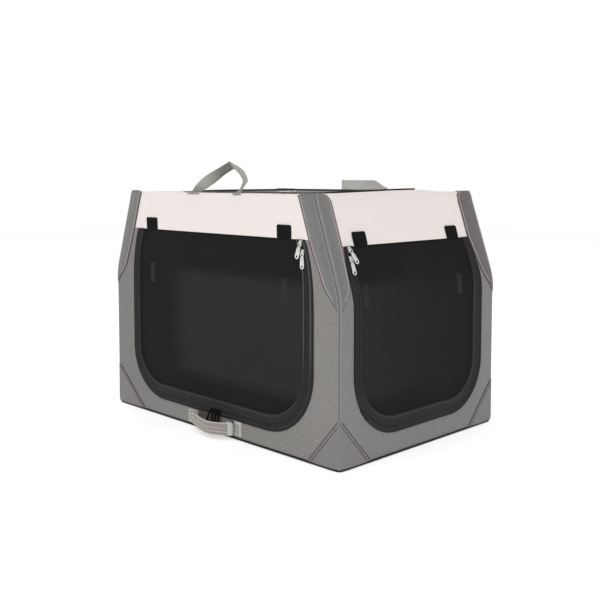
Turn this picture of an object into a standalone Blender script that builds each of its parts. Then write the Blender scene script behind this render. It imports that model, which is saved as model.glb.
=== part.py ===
"""Folding pet carrier: a knee-jointed steel tube frame inside a soft fabric shell.

The origin is at the centre of the underside. +X runs along the long front, +Z is up, and the front faces -Y.
Each end has a lower and an upper tube hoop that meet at two knee joints. The knees stand a little past their
centre, so the weight of the roof keeps them open, and they fold inwards to bring the roof down flat.
"""

import math

import bmesh
import bpy
from mathutils import Matrix, Vector
from mathutils.geometry import tessellate_polygon

# Shell, outside sizes in metres
LENGTH = 0.755
DEPTH = 0.515
HEIGHT = 0.530
CREASE_RADIUS = 0.145
LEAN = math.radians(18.9)
FRONT_YOKE_H = 0.0875
END_YOKE_H = 0.100

# Thicknesses
WALL_T = 0.0025
ROOF_T = 0.0025
FLOOR_T = 0.0025
BOARD_T = 0.009
DOOR_T = 0.0018
PATCH_T = 0.0012
WEBBING_T = 0.002

# Clearances
SEAT = 0.0003
RUN = 0.0005
ZIP_GAP = 0.0005
BOARD_GAP = 0.003
END_CLEAR = 0.0035
TOP_CORNER_CLEAR = 0.00143
SIDE_CLEAR = 0.0015

# Steel tube frame
BAR_R = 0.008
LEG_R = 0.0075
TUBE_WALL = 0.0012
CONNECTOR_WALL = 0.0035
CONNECTOR_DEPTH = 0.019
CONNECTOR_BEVEL = 0.0015
BLIND_WALL = 0.003
SPIGOT_LENGTH = 0.022
SPIGOT_ROOT = 0.002
LEG_GAP = 0.0035
EYE_R = 0.0105
EYE_FLOOR = 0.003
PIN_R = 0.003
PIN_HEAD_R = 0.0055
PIN_HEAD_T = 0.0015
PIN_FIT = 0.0003
STOP_R = 0.003
STOP_REACH = 0.022
STOP_ARM_W = 0.007
STOP_ARM_T = 0.006
SLOT_HALF = 0.0082

# Doors and windows: cloth left beside the zip line, how far down its bend lies, and its corner radii
FRONT_DOOR_SIDE = 0.0865
FRONT_DOOR_TOP_SIDE = 0.0699
FRONT_DOOR_BOTTOM = 0.054
FRONT_BEND_DROP = 0.0975
FRONT_DOOR_RADIUS = 0.105
END_DOOR_SIDE = 0.0525
END_DOOR_TOP_SIDE = 0.0625
END_DOOR_SHIFT = -0.005
END_DOOR_BOTTOM = 0.060
END_BEND_DROP = 0.100
END_DOOR_RADIUS = 0.095
HATCH_SIDE_X = 0.1009
HATCH_SIDE_Y = 0.0775
HATCH_RADIUS = 0.030
TAPE_W = 0.012
MESH_RECESS = 0.0005
FLOOR_RADIUS = 0.010
BOARD_RADIUS = 0.012

# Upper corner patches
PATCH_TIP_DROP = 0.0285
PATCH_SHOULDER_RISE = 0.0125
PATCH_SHOULDER_W = 0.034
PATCH_FRONT_W = 0.0465
PATCH_END_W = 0.042
PATCH_TIP_W = 0.003
PATCH_TOP_DROP = 0.0008

# Handles
STRAP_W = 0.030
FOOT_LIFT = 0.0008
FOOT_NARROWING = 0.4
SWING_TAPER = 0.36
STRAP_HALF_SPAN = 0.0765
STRAP_INSET = 0.0150
STRAP_AXIS_Z = 0.0050
FRONT_STRAP_RISE = 0.044
BACK_STRAP_RISE = 0.013
GRIP_W = 0.027
GRIP_T = 0.006
GRIP_LEFT = -0.073
GRIP_RIGHT = 0.057
GRIP_BOW = 0.036
GRIP_Z = 0.0250
GRIP_AXIS_OUT = 0.005
GRIP_CROWN_FOOT = 0.0014
GRIP_CROWN_SLOPE = 0.55
GRIP_KEEL_FOOT = 0.008
CARRY_WEB_LEFT = -0.090
CARRY_WEB_RIGHT = 0.092
CARRY_WEB_BOTTOM = 0.010
CARRY_WEB_TOP = 0.041

# Zip sliders and their pulls
SLIDER_W = 0.008
SLIDER_L = 0.011
SLIDER_T = 0.003
SLIDER_BEVEL = 0.0008
BAIL_WIRE = 0.0012
BAIL_INSIDE = 0.002
BAIL_LENGTH = 0.0072
BAIL_ROOT = 0.001
PULL_L = 0.0275
PULL_W = 0.007
PULL_T = 0.0012
PULL_EYE_W = 0.0056
PULL_EYE_L = 0.0042
PULL_BAR = 0.0012
PULL_CORNER = 0.002
PULL_HOLE_R = 0.0013
PULL_HOLE_HALF = 0.0008
PULL_HOLE_UP = 0.0042
PULL_LEAN = math.radians(36.5)
ZIP_A_DROP = 0.0065
ZIP_B_DROP = 0.0245
HATCH_ZIP_A = 0.034
HATCH_ZIP_B = 0.054

# Facets
ROUND = 16
CORNER_STEPS = 6
PEG_ROUND = 12
CREASE_STEPS = 4
BEND_STEPS = 3

# How far a cutter runs past the face it opens
OVERRUN = 0.01

# Finishes: colour, roughness, metallic
FINISHES = {
    "grey_fabric": ((0.225, 0.215, 0.205), 0.9, 0.0),
    "dark_fabric": ((0.185, 0.185, 0.185), 0.9, 0.0),
    "white_fabric": ((0.80, 0.74, 0.70), 0.85, 0.0),
    "black_mesh": ((0.018, 0.018, 0.018), 0.8, 0.0),
    "black_fabric": ((0.03, 0.03, 0.03), 0.85, 0.0),
    "webbing": ((0.30, 0.32, 0.28), 0.8, 0.0),
    "steel_tube": ((0.30, 0.30, 0.31), 0.4, 0.9),
    "pin_steel": ((0.55, 0.55, 0.55), 0.35, 1.0),
    "zip_metal": ((0.60, 0.58, 0.54), 0.3, 1.0),
    "black_plastic": ((0.02, 0.02, 0.022), 0.5, 0.0),
    "board": ((0.10, 0.10, 0.10), 0.85, 0.0),
}

# Frame positions that follow from the sizes above
HUB_R = BAR_R + CONNECTOR_WALL
TOP_REACH = HUB_R + SLOT_HALF
CONNECTOR_OUT = DEPTH / 2 - WALL_T - SIDE_CLEAR
CONNECTOR_IN = CONNECTOR_OUT - CONNECTOR_DEPTH
RAIL_Y = (CONNECTOR_OUT + CONNECTOR_IN) / 2
BAR_END = CONNECTOR_OUT - BLIND_WALL - RUN
LOWER_LEG_Y = CONNECTOR_IN - RUN - LEG_R
UPPER_LEG_Y = LOWER_LEG_Y - 2 * LEG_R - LEG_GAP
BASE_X = LENGTH / 2 - WALL_T - END_CLEAR - HUB_R
BASE_Z = FLOOR_T + SEAT + BOARD_T + SEAT + HUB_R
TOP_Z = HEIGHT - ROOF_T - SEAT - HUB_R
UPPER_LENGTH = (TOP_Z - BASE_Z) / (1 + math.sin(LEAN) + math.cos(LEAN))
KNEE_Z = TOP_Z - UPPER_LENGTH * math.cos(LEAN)
TOP_X = BASE_X - UPPER_LENGTH * math.sin(LEAN)
LEG_UP = Vector((-math.sin(LEAN), 0, math.cos(LEAN)))
LEG_INWARD = Vector((-math.cos(LEAN), 0, -math.sin(LEAN)))

# Shell heights and half lengths: the leaning end walls clear the top corners of the frame
ROOF_HALF = TOP_X + TOP_REACH + TOP_CORNER_CLEAR
CREASE_Z = HEIGHT - (LENGTH / 2 - ROOF_HALF) / math.tan(LEAN)
FRONT_YOKE_Z = HEIGHT - FRONT_YOKE_H
END_YOKE_Z = HEIGHT - END_YOKE_H
FRONT_TOP_HALF = ROOF_HALF + FRONT_YOKE_H * math.tan(LEAN)

# The zip lines of the doors and the hatch
FRONT_DOOR_HALF = LENGTH / 2 - FRONT_DOOR_SIDE
FRONT_DOOR_TOP_HALF = FRONT_TOP_HALF - FRONT_DOOR_TOP_SIDE
FRONT_DOOR_BEND = FRONT_YOKE_Z - FRONT_BEND_DROP
END_DOOR_HALF = DEPTH / 2 - END_DOOR_SIDE
END_DOOR_TOP_HALF = DEPTH / 2 - END_DOOR_TOP_SIDE
END_DOOR_BEND = END_YOKE_Z - END_BEND_DROP
HATCH_HALF_X = ROOF_HALF - HATCH_SIDE_X
HATCH_HALF_Y = DEPTH / 2 - HATCH_SIDE_Y

# Heights on the upper corner patches
PATCH_TIP_Z = CREASE_Z - PATCH_TIP_DROP
PATCH_SHOULDER_Z = CREASE_Z + PATCH_SHOULDER_RISE
PATCH_FULL_Z = END_YOKE_Z


def clear_scene():
    for item in list(bpy.data.objects):
        bpy.data.objects.remove(item)


def make_finishes():
    made = {}
    for name, (colour, roughness, metallic) in FINISHES.items():
        material = bpy.data.materials.new(name)
        material.use_nodes = True
        shader = material.node_tree.nodes["Principled BSDF"]
        shader.inputs["Base Color"].default_value = (*colour, 1)
        shader.inputs["Roughness"].default_value = roughness
        shader.inputs["Metallic"].default_value = metallic
        made[name] = material
    return made


def add_bodies(tree):
    """An empty for each moving body, on its joint's axis."""
    empties = {"root": (None, Vector())}
    for name, (parent, point) in tree.items():
        empty = bpy.data.objects.new(f"{name}_axis", None)
        empty.empty_display_size = 0.02
        bpy.context.collection.objects.link(empty)
        empty.parent = empties[parent][0]
        empty.location = Vector(point) - empties[parent][1]
        empties[name] = (empty, Vector(point))
    return empties


def face_out(shape):
    bmesh.ops.recalc_face_normals(shape, faces=shape.faces)
    if shape.calc_volume(signed=True) < 0:
        bmesh.ops.reverse_faces(shape, faces=shape.faces)


def finish_piece(name, shape, finish, body="root", smooth=False):
    """Turns a bmesh in world coordinates into a named object that hangs on its body's empty."""
    face_out(shape)
    empty, point = BODIES[body]
    shape.transform(Matrix.Translation(-point))
    mesh = bpy.data.meshes.new(name)
    shape.to_mesh(mesh)
    shape.free()
    mesh.materials.append(MATERIALS[finish])
    if smooth:
        mesh.shade_smooth()
        mesh.set_sharp_from_angle(angle=math.radians(40))
    piece = bpy.data.objects.new(name, mesh)
    bpy.context.collection.objects.link(piece)
    piece.parent = empty
    return piece


def boolean(shape, tool, operation):
    """The bmesh of one shape joined with, or cut by, another."""
    held = []
    for part in (shape, tool):
        face_out(part)
        mesh = bpy.data.meshes.new("working")
        part.to_mesh(mesh)
        part.free()
        item = bpy.data.objects.new("working", mesh)
        bpy.context.collection.objects.link(item)
        held.append(item)
    modifier = held[0].modifiers.new("join", "BOOLEAN")
    modifier.operation = operation
    modifier.object = held[1]
    depsgraph = bpy.context.evaluated_depsgraph_get()
    result = bmesh.new()
    result.from_object(held[0], depsgraph)
    for item in held:
        bpy.data.meshes.remove(item.data)
    return result


def joined(*shapes):
    result = shapes[0]
    for shape in shapes[1:]:
        result = boolean(result, shape, "UNION")
    return result


def cut(shape, *tools):
    for tool in tools:
        shape = boolean(shape, tool, "DIFFERENCE")
    return shape


def prism(outline, low, high, holes=()):
    """A plate of the (u, v) outline between the heights low and high, as u, v, w."""
    loops = [[Vector((u, v, 0)) for u, v in loop] for loop in (outline, *holes)]
    shape = bmesh.new()
    levels = [
        [shape.verts.new((p.x, p.y, w)) for loop in loops for p in loop] for w in (low, high)
    ]
    for triangle in tessellate_polygon(loops):
        for level in levels:
            shape.faces.new([level[i] for i in triangle])
    first = 0
    for loop in loops:
        for i in range(len(loop)):
            a, b = first + i, first + (i + 1) % len(loop)
            shape.faces.new((levels[0][a], levels[0][b], levels[1][b], levels[1][a]))
        first += len(loop)
    bmesh.ops.dissolve_limit(
        shape, angle_limit=math.radians(0.5), verts=shape.verts, edges=shape.edges
    )
    return shape


def turned(start, direction, profile, sides=ROUND):
    """A round solid: profile lists (radius, distance along direction) from one end to the other."""
    direction = Vector(direction).normalized()
    turn = direction.to_track_quat("Z", "X").to_matrix()
    shape = bmesh.new()
    rings = []
    for radius, along in profile:
        ring = []
        for i in range(sides):
            angle = 2 * math.pi * (i + 0.5) / sides
            local = Vector((radius * math.cos(angle), radius * math.sin(angle), along))
            ring.append(shape.verts.new(Vector(start) + turn @ local))
        rings.append(ring)
    for low, high in zip(rings, rings[1:]):
        for i in range(sides):
            j = (i + 1) % sides
            shape.faces.new((low[i], low[j], high[j], high[i]))
    shape.faces.new(rings[0])
    shape.faces.new(rings[-1])
    return shape


def rod(start, end, radius, sides=ROUND):
    run = Vector(end) - Vector(start)
    return turned(start, run, [(radius, 0), (radius, run.length)], sides)


def around(radius, gap, sides=ROUND):
    """The corner radius of a faceted bore that clears a rod by the gap."""
    return (radius + gap) / math.cos(math.pi / sides)


def box(low, high, bevel=0.0, segments=1):
    low, high = Vector(low), Vector(high)
    shape = bmesh.new()
    size = Matrix.Diagonal((*(high - low), 1))
    bmesh.ops.create_cube(shape, size=1, matrix=Matrix.Translation((low + high) / 2) @ size)
    if bevel:
        bmesh.ops.bevel(
            shape, geom=shape.edges[:], offset=bevel, segments=segments, profile=0.5,
            affect="EDGES", clamp_overlap=True,
        )
    return shape


def stadium(half_length, radius, sides=ROUND):
    points = []
    for i in range(sides):
        angle = 2 * math.pi * (i + 0.5) / sides
        shift = math.copysign(half_length, math.cos(angle))
        points.append((radius * math.cos(angle) + shift, radius * math.sin(angle)))
    return points


def placed(shape, place):
    """Moves each corner of a shape by a function of its place."""
    for corner in shape.verts:
        corner.co = place(corner.co)
    return shape


def mirrored(shape, x=1, y=1):
    return placed(shape, lambda p: Vector((p.x * x, p.y * y, p.z)))


# The leaning end wall


def end_knots():
    """The end wall's outer face from floor to roof: (distance, x, z, outward x, outward z) at each fold."""
    tangent = CREASE_RADIUS * math.tan(LEAN / 2)
    low = CREASE_Z - tangent
    points = [(LENGTH / 2, 0.0)]
    for i in range(CREASE_STEPS + 1):
        angle = LEAN * i / CREASE_STEPS
        x = LENGTH / 2 - CREASE_RADIUS * (1 - math.cos(angle))
        points.append((x, low + CREASE_RADIUS * math.sin(angle)))
    points.append((ROOF_HALF, HEIGHT))
    slopes = [math.atan2(a[0] - b[0], b[1] - a[1]) for a, b in zip(points, points[1:])]
    slopes = [slopes[0], *slopes, slopes[-1]]
    knots = []
    run = 0.0
    for i, (x, z) in enumerate(points):
        if i:
            run += math.dist(points[i - 1], (x, z))
        mean = (slopes[i] + slopes[i + 1]) / 2
        stretch = math.cos((slopes[i + 1] - slopes[i]) / 2)
        knots.append((run, x, z, math.cos(mean) / stretch, math.sin(mean) / stretch))
    return knots


def between(knots, key, value):
    """The knot values at one value of the column key, which may lie past either end."""
    i = 0
    while i < len(knots) - 2 and knots[i + 1][key] < value:
        i += 1
    a, b = knots[i], knots[i + 1]
    share = (value - a[key]) / (b[key] - a[key])
    return [p + (q - p) * share for p, q in zip(a, b)]


def wall_x(z, depth=0.0):
    """The half length of the shell at a height, or of its inner face at a depth below the outer one."""
    row = between(KNOTS, 2, z)
    return row[1] - depth / math.cos(math.atan2(row[4], row[3]))


def along(z):
    """How far up the end wall's face a height lies."""
    return between(KNOTS, 2, z)[0]


def on_end_wall(point, side=1):
    """Takes (y, distance up the wall, height off its outer face) to its place in space."""
    row = between(KNOTS, 0, point.y)
    return Vector((side * (row[1] + point.z * row[3]), point.x, row[2] + point.z * row[4]))


def bent(shape, side):
    """Folds a flat shape of (y, distance up the wall, height off the face) on to an end wall."""
    for knot in KNOTS[1:-1]:
        bmesh.ops.bisect_plane(
            shape, geom=[*shape.verts, *shape.edges, *shape.faces], dist=1e-7,
            plane_co=(0, knot[0], 0), plane_no=(0, 1, 0),
        )
    return placed(shape, lambda p: on_end_wall(p, side))


def on_side_wall(shape, side):
    """Takes (x, z, height off the outer face) to the front wall, side -1, or the back wall, side 1."""
    return placed(shape, lambda p: Vector((p.x, side * (DEPTH / 2 + p.z), p.y)))


# Outlines


def edge_half(half, top_half, rise):
    """A door's half width above its bend: rise goes from 0 at the bend to 1 at the top."""
    return half - (half - top_half) * rise**2


def door_edge(half, top_half, bottom, top, bend, radius, grow=0.0):
    """The U of a door from its upper right end, round its lower edge, to its upper left end."""
    half, top_half, bottom, radius = half + grow, top_half + grow, bottom - grow, radius + grow
    right = []
    for i in range(BEND_STEPS):
        rise = 1 - i / BEND_STEPS
        right.append((edge_half(half, top_half, rise), bend + (top - bend) * rise))
    right.append((half, bend))
    for i in range(CORNER_STEPS + 1):
        angle = math.pi / 2 * i / CORNER_STEPS
        u = half - radius * (1 - math.cos(angle))
        right.append((u, bottom + radius * (1 - math.sin(angle))))
    return right + [(-u, v) for u, v in reversed(right)]


def front_edge(top=FRONT_YOKE_Z, grow=0.0):
    return door_edge(
        FRONT_DOOR_HALF, FRONT_DOOR_TOP_HALF, FRONT_DOOR_BOTTOM, top, FRONT_DOOR_BEND,
        FRONT_DOOR_RADIUS, grow,
    )


def end_edge(top=END_YOKE_Z, grow=0.0):
    edge = door_edge(
        END_DOOR_HALF, END_DOOR_TOP_HALF, END_DOOR_BOTTOM, top, END_DOOR_BEND,
        END_DOOR_RADIUS, grow,
    )
    return [(u + END_DOOR_SHIFT, along(z)) for u, z in edge]


def rounded(half_u, half_v, radius):
    points = []
    for quarter in range(4):
        for i in range(CORNER_STEPS + 1):
            angle = math.pi / 2 * (quarter + i / CORNER_STEPS)
            side_u = 1 if quarter in (0, 3) else -1
            side_v = 1 if quarter < 2 else -1
            points.append(
                (
                    side_u * (half_u - radius) + radius * math.cos(angle),
                    side_v * (half_v - radius) + radius * math.sin(angle),
                )
            )
    return points


def framed(outline, thickness):
    """A door leaf: a thicker tape edge round a thinner mesh field, as (u, v, height off the wall)."""
    shape = prism(outline, -thickness, 0)
    for side in (-1, 1):
        face = max(shape.faces, key=lambda f: f.calc_area() * (f.normal.z * side > 0.9))
        bmesh.ops.inset_region(shape, faces=[face], thickness=TAPE_W, depth=0)
        bmesh.ops.inset_region(shape, faces=[face], thickness=MESH_RECESS, depth=-MESH_RECESS)
    return shape


# Frame


def connector(x, z, reach, slot, side_x, side_y):
    """A corner block that takes the end of a rail on its spigot and the hoop's bar in its bore."""
    block = box(
        (x - reach, CONNECTOR_IN, z - HUB_R), (x + reach, CONNECTOR_OUT, z + HUB_R), CONNECTOR_BEVEL
    )
    spigot_r = BAR_R - TUBE_WALL - SEAT
    spigot = rod(
        (x - reach + SPIGOT_ROOT, RAIL_Y, z), (x - reach - SPIGOT_LENGTH, RAIL_Y, z), spigot_r
    )
    bore = prism(
        stadium(slot, around(BAR_R, SEAT)), CONNECTOR_IN - OVERRUN, CONNECTOR_OUT - BLIND_WALL
    )
    bore = placed(bore, lambda p: Vector((x + p.x, p.z, z + p.y)))
    return mirrored(cut(joined(block, spigot), bore), side_x, side_y)


def rail(reach, z, side_y):
    length, past = reach - SEAT, reach + OVERRUN
    y = side_y * RAIL_Y
    outer = rod((-length, y, z), (length, y, z), BAR_R)
    inner = rod((-past, y, z), (past, y, z), BAR_R - TUBE_WALL)
    return cut(outer, inner)


def hoop_bar(x, z):
    past = BAR_END + OVERRUN
    return (
        rod((x, -BAR_END, z), (x, BAR_END, z), BAR_R),
        rod((x, -past, z), (x, past, z), BAR_R - TUBE_WALL),
    )


def lower_hoop(side):
    """A bar in the base corners with two upright legs."""
    bar, bore = hoop_bar(BASE_X, BASE_Z)
    leg_top = KNEE_Z - HUB_R - SEAT
    for y in (-LOWER_LEG_Y, LOWER_LEG_Y):
        bar = joined(bar, rod((BASE_X, y, BASE_Z), (BASE_X, y, leg_top), LEG_R))
        bore = joined(
            bore, rod((BASE_X, y, BASE_Z), (BASE_X, y, leg_top + OVERRUN), LEG_R - TUBE_WALL)
        )
    return mirrored(cut(bar, bore), side)


def upper_hoop(side):
    """A bar in the top corners with two leaning legs that end in eyes on the knee pins."""
    bar, bore = hoop_bar(TOP_X, TOP_Z)
    for y in (-UPPER_LEG_Y, UPPER_LEG_Y):
        knee = Vector((BASE_X, y, KNEE_Z))
        top = Vector((TOP_X, y, TOP_Z))
        eye = rod(knee - Vector((0, LEG_R, 0)), knee + Vector((0, LEG_R, 0)), EYE_R)
        bar = joined(bar, rod(knee + LEG_UP * PIN_R * 2, top, LEG_R), eye)
        bore = joined(bore, rod(knee + LEG_UP * (EYE_R + EYE_FLOOR), top, LEG_R - TUBE_WALL))
    bar = cut(bar, bore)
    for y in (-UPPER_LEG_Y, UPPER_LEG_Y):
        bar = cut(
            bar,
            rod((BASE_X, y - 2 * LEG_R, KNEE_Z), (BASE_X, y + 2 * LEG_R, KNEE_Z),
                around(PIN_R, PIN_FIT)),
        )
    return mirrored(bar, side)


def knee_joint(side_x, side_y):
    """The hub on a lower leg: an eye for the pin, a spigot in the leg and a stop for the upper leg."""
    inner, outer = UPPER_LEG_Y + LEG_R + RUN, LOWER_LEG_Y + LEG_R
    knee = Vector((BASE_X, 0, KNEE_Z))
    eye = rod(knee + Vector((0, inner, 0)), knee + Vector((0, outer, 0)), HUB_R)
    neck = Vector((BASE_X, LOWER_LEG_Y, KNEE_Z - HUB_R / 2))
    foot = Vector((BASE_X, LOWER_LEG_Y, KNEE_Z - HUB_R - SPIGOT_LENGTH))
    spigot = rod(neck, foot, LEG_R - TUBE_WALL - SEAT)
    peg = knee + LEG_UP * STOP_REACH + LEG_INWARD * (LEG_R + SEAT + STOP_R)
    arm_line = peg - knee
    arm = box(
        (0, inner, -STOP_ARM_W / 2), (arm_line.length, inner + STOP_ARM_T, STOP_ARM_W / 2)
    )
    turn = Matrix.Rotation(math.atan2(-arm_line.z, arm_line.x), 3, "Y")
    arm = placed(arm, lambda p: knee + turn @ p)
    stop = rod(
        peg + Vector((0, UPPER_LEG_Y - LEG_R, 0)), peg + Vector((0, inner + STOP_ARM_T, 0)),
        STOP_R, PEG_ROUND,
    )
    hub = joined(eye, spigot, arm, stop)
    bore = rod(
        knee + Vector((0, inner - OVERRUN, 0)), knee + Vector((0, outer + OVERRUN, 0)),
        around(PIN_R, PIN_FIT),
    )
    return mirrored(cut(hub, bore), side_x, side_y)


def knee_pin(side_x, side_y):
    """A rivet through the upper leg's eye and the hub, with a head at each end."""
    inner = UPPER_LEG_Y - LEG_R - RUN
    outer = LOWER_LEG_Y + LEG_R + SEAT
    span = outer - inner
    profile = [
        (PIN_HEAD_R, -PIN_HEAD_T), (PIN_HEAD_R, 0), (PIN_R, 0),
        (PIN_R, span), (PIN_HEAD_R, span), (PIN_HEAD_R, span + PIN_HEAD_T),
    ]
    pin = turned((BASE_X, inner, KNEE_Z), (0, 1, 0), profile)
    return mirrored(pin, side_x, side_y)


# Shell


def side_wall(side):
    """The front or back wall: a U round the door or window, its ends cut to the lean of the end walls."""
    top = FRONT_YOKE_Z - SEAT
    low = FLOOR_T + SEAT
    notch = front_edge(top, ZIP_GAP)
    heights = [low, *[k[2] for k in KNOTS[1:-1] if k[2] < top], top]
    right = [(wall_x(z), z) for z in heights]
    outline = right + notch + [(-x, z) for x, z in reversed(right)]
    return on_side_wall(prism(outline, -WALL_T, 0), side)


def side_yoke(side):
    outline = [
        (-wall_x(FRONT_YOKE_Z), FRONT_YOKE_Z), (wall_x(FRONT_YOKE_Z), FRONT_YOKE_Z),
        (wall_x(HEIGHT), HEIGHT), (-wall_x(HEIGHT), HEIGHT),
    ]
    return on_side_wall(prism(outline, -WALL_T, 0), side)


def end_wall(side):
    """An end wall, folded along the crease, between the front and back walls."""
    reach = DEPTH / 2 - WALL_T - SEAT
    low, top = along(FLOOR_T + SEAT), along(END_YOKE_Z) - SEAT
    notch = end_edge(END_YOKE_Z - SEAT * math.cos(LEAN), ZIP_GAP)
    outline = [(reach, low), (reach, top), *notch, (-reach, top), (-reach, low)]
    return bent(prism(outline, -WALL_T, 0), side)


def end_yoke(side):
    reach = DEPTH / 2 - WALL_T - SEAT
    low, top = along(END_YOKE_Z), along(HEIGHT)
    outline = [(-reach, low), (reach, low), (reach, top), (-reach, top)]
    return bent(prism(outline, -WALL_T, 0), side)


def roof_half_x():
    return wall_x(HEIGHT, WALL_T) - SEAT


def roof_panel():
    reach_y = DEPTH / 2 - WALL_T - SEAT
    outline = [
        (-roof_half_x(), -reach_y), (roof_half_x(), -reach_y),
        (roof_half_x(), reach_y), (-roof_half_x(), reach_y),
    ]
    hole = rounded(HATCH_HALF_X + ZIP_GAP, HATCH_HALF_Y + ZIP_GAP, HATCH_RADIUS + ZIP_GAP)
    return prism(outline, HEIGHT - ROOF_T, HEIGHT, [hole])


def roof_hatch():
    leaf = framed(rounded(HATCH_HALF_X, HATCH_HALF_Y, HATCH_RADIUS), DOOR_T)
    return placed(leaf, lambda p: p + Vector((0, 0, HEIGHT)))


def floor_cover():
    return prism(rounded(LENGTH / 2, DEPTH / 2, FLOOR_RADIUS), 0, FLOOR_T)


def floor_board():
    reach_x = LENGTH / 2 - WALL_T - BOARD_GAP
    reach_y = DEPTH / 2 - WALL_T - BOARD_GAP
    low = FLOOR_T + SEAT
    return prism(rounded(reach_x, reach_y, BOARD_RADIUS), low, low + BOARD_T)


def patch_width(z, full):
    """How far a flap reaches from the corner: it widens quickly to a shoulder, then slowly."""
    if z < PATCH_SHOULDER_Z:
        share = (z - PATCH_TIP_Z) / (PATCH_SHOULDER_Z - PATCH_TIP_Z)
        return PATCH_TIP_W + (PATCH_SHOULDER_W - PATCH_TIP_W) * share
    share = min(1.0, (z - PATCH_SHOULDER_Z) / (PATCH_FULL_Z - PATCH_SHOULDER_Z))
    return PATCH_SHOULDER_W + (full - PATCH_SHOULDER_W) * share


def corner_patch(side_x, side_y):
    """The upper corner patch: a pointed flap on the side wall and one on the end wall."""
    top = HEIGHT - PATCH_TOP_DROP
    folds = [k[2] for k in KNOTS[1:-1]]
    heights = sorted({PATCH_TIP_Z, PATCH_SHOULDER_Z, PATCH_FULL_Z, top, *folds})
    rows = []
    for z in heights:
        wide, deep = patch_width(z, PATCH_FRONT_W), patch_width(z, PATCH_END_W)
        front = Vector((wall_x(z) - wide, -DEPTH / 2 - SEAT, z))
        edge = on_end_wall(Vector((-DEPTH / 2 - SEAT, along(z), SEAT)))
        end = on_end_wall(Vector((-DEPTH / 2 + deep, along(z), SEAT)))
        outer_front = front - Vector((0, PATCH_T, 0))
        outer_edge = on_end_wall(Vector((-DEPTH / 2 - SEAT - PATCH_T, along(z), SEAT + PATCH_T)))
        outer_end = on_end_wall(Vector((-DEPTH / 2 + deep, along(z), SEAT + PATCH_T)))
        rows.append([front, edge, end, outer_end, outer_edge, outer_front])
    shape = bmesh.new()
    rings = [[shape.verts.new(p) for p in row] for row in rows]
    for low, high in zip(rings, rings[1:]):
        for i in range(6):
            j = (i + 1) % 6
            shape.faces.new((low[i], low[j], high[j], high[i]))
    for ring in (rings[0], rings[-1]):
        shape.faces.new((ring[0], ring[1], ring[4], ring[5]))
        shape.faces.new((ring[1], ring[2], ring[3], ring[4]))
    return mirrored(shape, side_x, -side_y)


# Handles


def smooth_line(points, steps):
    """A smooth curve through rows of numbers."""
    rows = [Vector(p) for p in points]
    rows = [2 * rows[0] - rows[1], *rows, 2 * rows[-1] - rows[-2]]
    line = []
    for i in range(1, len(rows) - 2):
        a, b, c, d = rows[i - 1 : i + 3]
        for step in range(steps):
            t = step / steps
            line.append(
                ((2 * b) + (c - a) * t + (2 * a - 5 * b + 4 * c - d) * t**2
                 + (3 * b - a - 3 * c + d) * t**3) / 2
            )
    line.append(rows[-2])
    return line


def band(line, widths, across, thickness):
    """A flat strap along a line. widths and across give its width and the direction of that width."""
    shape = bmesh.new()
    rings = []
    for i, point in enumerate(line):
        run = (line[min(i + 1, len(line) - 1)] - line[max(i - 1, 0)]).normalized()
        wide = (across[i] - run * across[i].dot(run)).normalized() * widths[i] / 2
        thick = run.cross(wide).normalized() * thickness / 2
        corners = (wide + thick, wide - thick, -wide - thick, -wide + thick)
        rings.append([shape.verts.new(point + c) for c in corners])
    for low, high in zip(rings, rings[1:]):
        for i in range(4):
            j = (i + 1) % 4
            shape.faces.new((low[i], low[j], high[j], high[i]))
    shape.faces.new(rings[0])
    shape.faces.new(rings[-1])
    return shape


def end_corners(shape):
    """The corners of a band's two end faces."""
    shape.verts.ensure_lookup_table()
    return [*shape.verts[:4], *shape.verts[-4:]]


def eased(value):
    value = max(0.0, min(1.0, value))
    return value * value * (3 - 2 * value)


def strap_widths(line, across):
    """Narrow at the feet, and nowhere so wide that the strap meets the roof when it swings."""
    widths = []
    for point, way in zip(line, across):
        spread = 1 - (1 - SWING_TAPER) * way.y
        half = STRAP_AXIS_Z - FOOT_LIFT + spread * (point.z - STRAP_AXIS)
        widths.append(min(STRAP_W, 2 * half))
    return widths


def footed(shape, y):
    """Brings a strap's two ends down to the roof, as near as the swing lets them come."""
    reach = STRAP_AXIS_Z - SEAT
    for corner in end_corners(shape):
        if corner.co.z < STRAP_AXIS:
            offset = (corner.co.y - y) * FOOT_NARROWING
            corner.co.y = y + offset
            corner.co.z = STRAP_AXIS - math.sqrt(reach**2 - offset**2)
    return shape


def front_strap():
    """The raised front handle: it climbs to its peak with its face forward, then turns edge on."""
    top = STRAP_AXIS
    y = -DEPTH / 2 + STRAP_INSET
    span, rise = STRAP_HALF_SPAN, FRONT_STRAP_RISE
    line = smooth_line(
        [
            (-span, y, top), (-0.62 * span, y, top + 0.30 * rise), (-0.10 * span, y, top + 0.72 * rise),
            (0.42 * span, y, top + 0.98 * rise), (0.98 * span, y, top + 0.92 * rise),
            (1.30 * span, y, top + 0.55 * rise), (1.22 * span, y, top + 0.20 * rise),
            (span, y, top),
        ],
        4,
    )
    across = []
    for i in range(len(line)):
        turn = eased((i / (len(line) - 1) - 0.42) / 0.22)
        across.append(Vector((0, turn, 1 - turn)))
    return footed(band(line, strap_widths(line, across), across, WEBBING_T), y)


def back_strap():
    """The fallen back handle: a low band that stands along the edge."""
    top = STRAP_AXIS
    y = DEPTH / 2 - STRAP_INSET
    span, rise = STRAP_HALF_SPAN, BACK_STRAP_RISE
    line = smooth_line(
        [
            (-span, y, top), (-0.86 * span, y, top + 0.55 * rise), (-0.5 * span, y, top + rise),
            (0.0, y, top + rise), (0.45 * span, y, top + 0.9 * rise),
            (0.82 * span, y, top + 0.4 * rise), (span, y, top),
        ],
        4,
    )
    across = [Vector((0, 0, 1))] * len(line)
    return footed(band(line, strap_widths(line, across), across, WEBBING_T), y)


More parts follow.
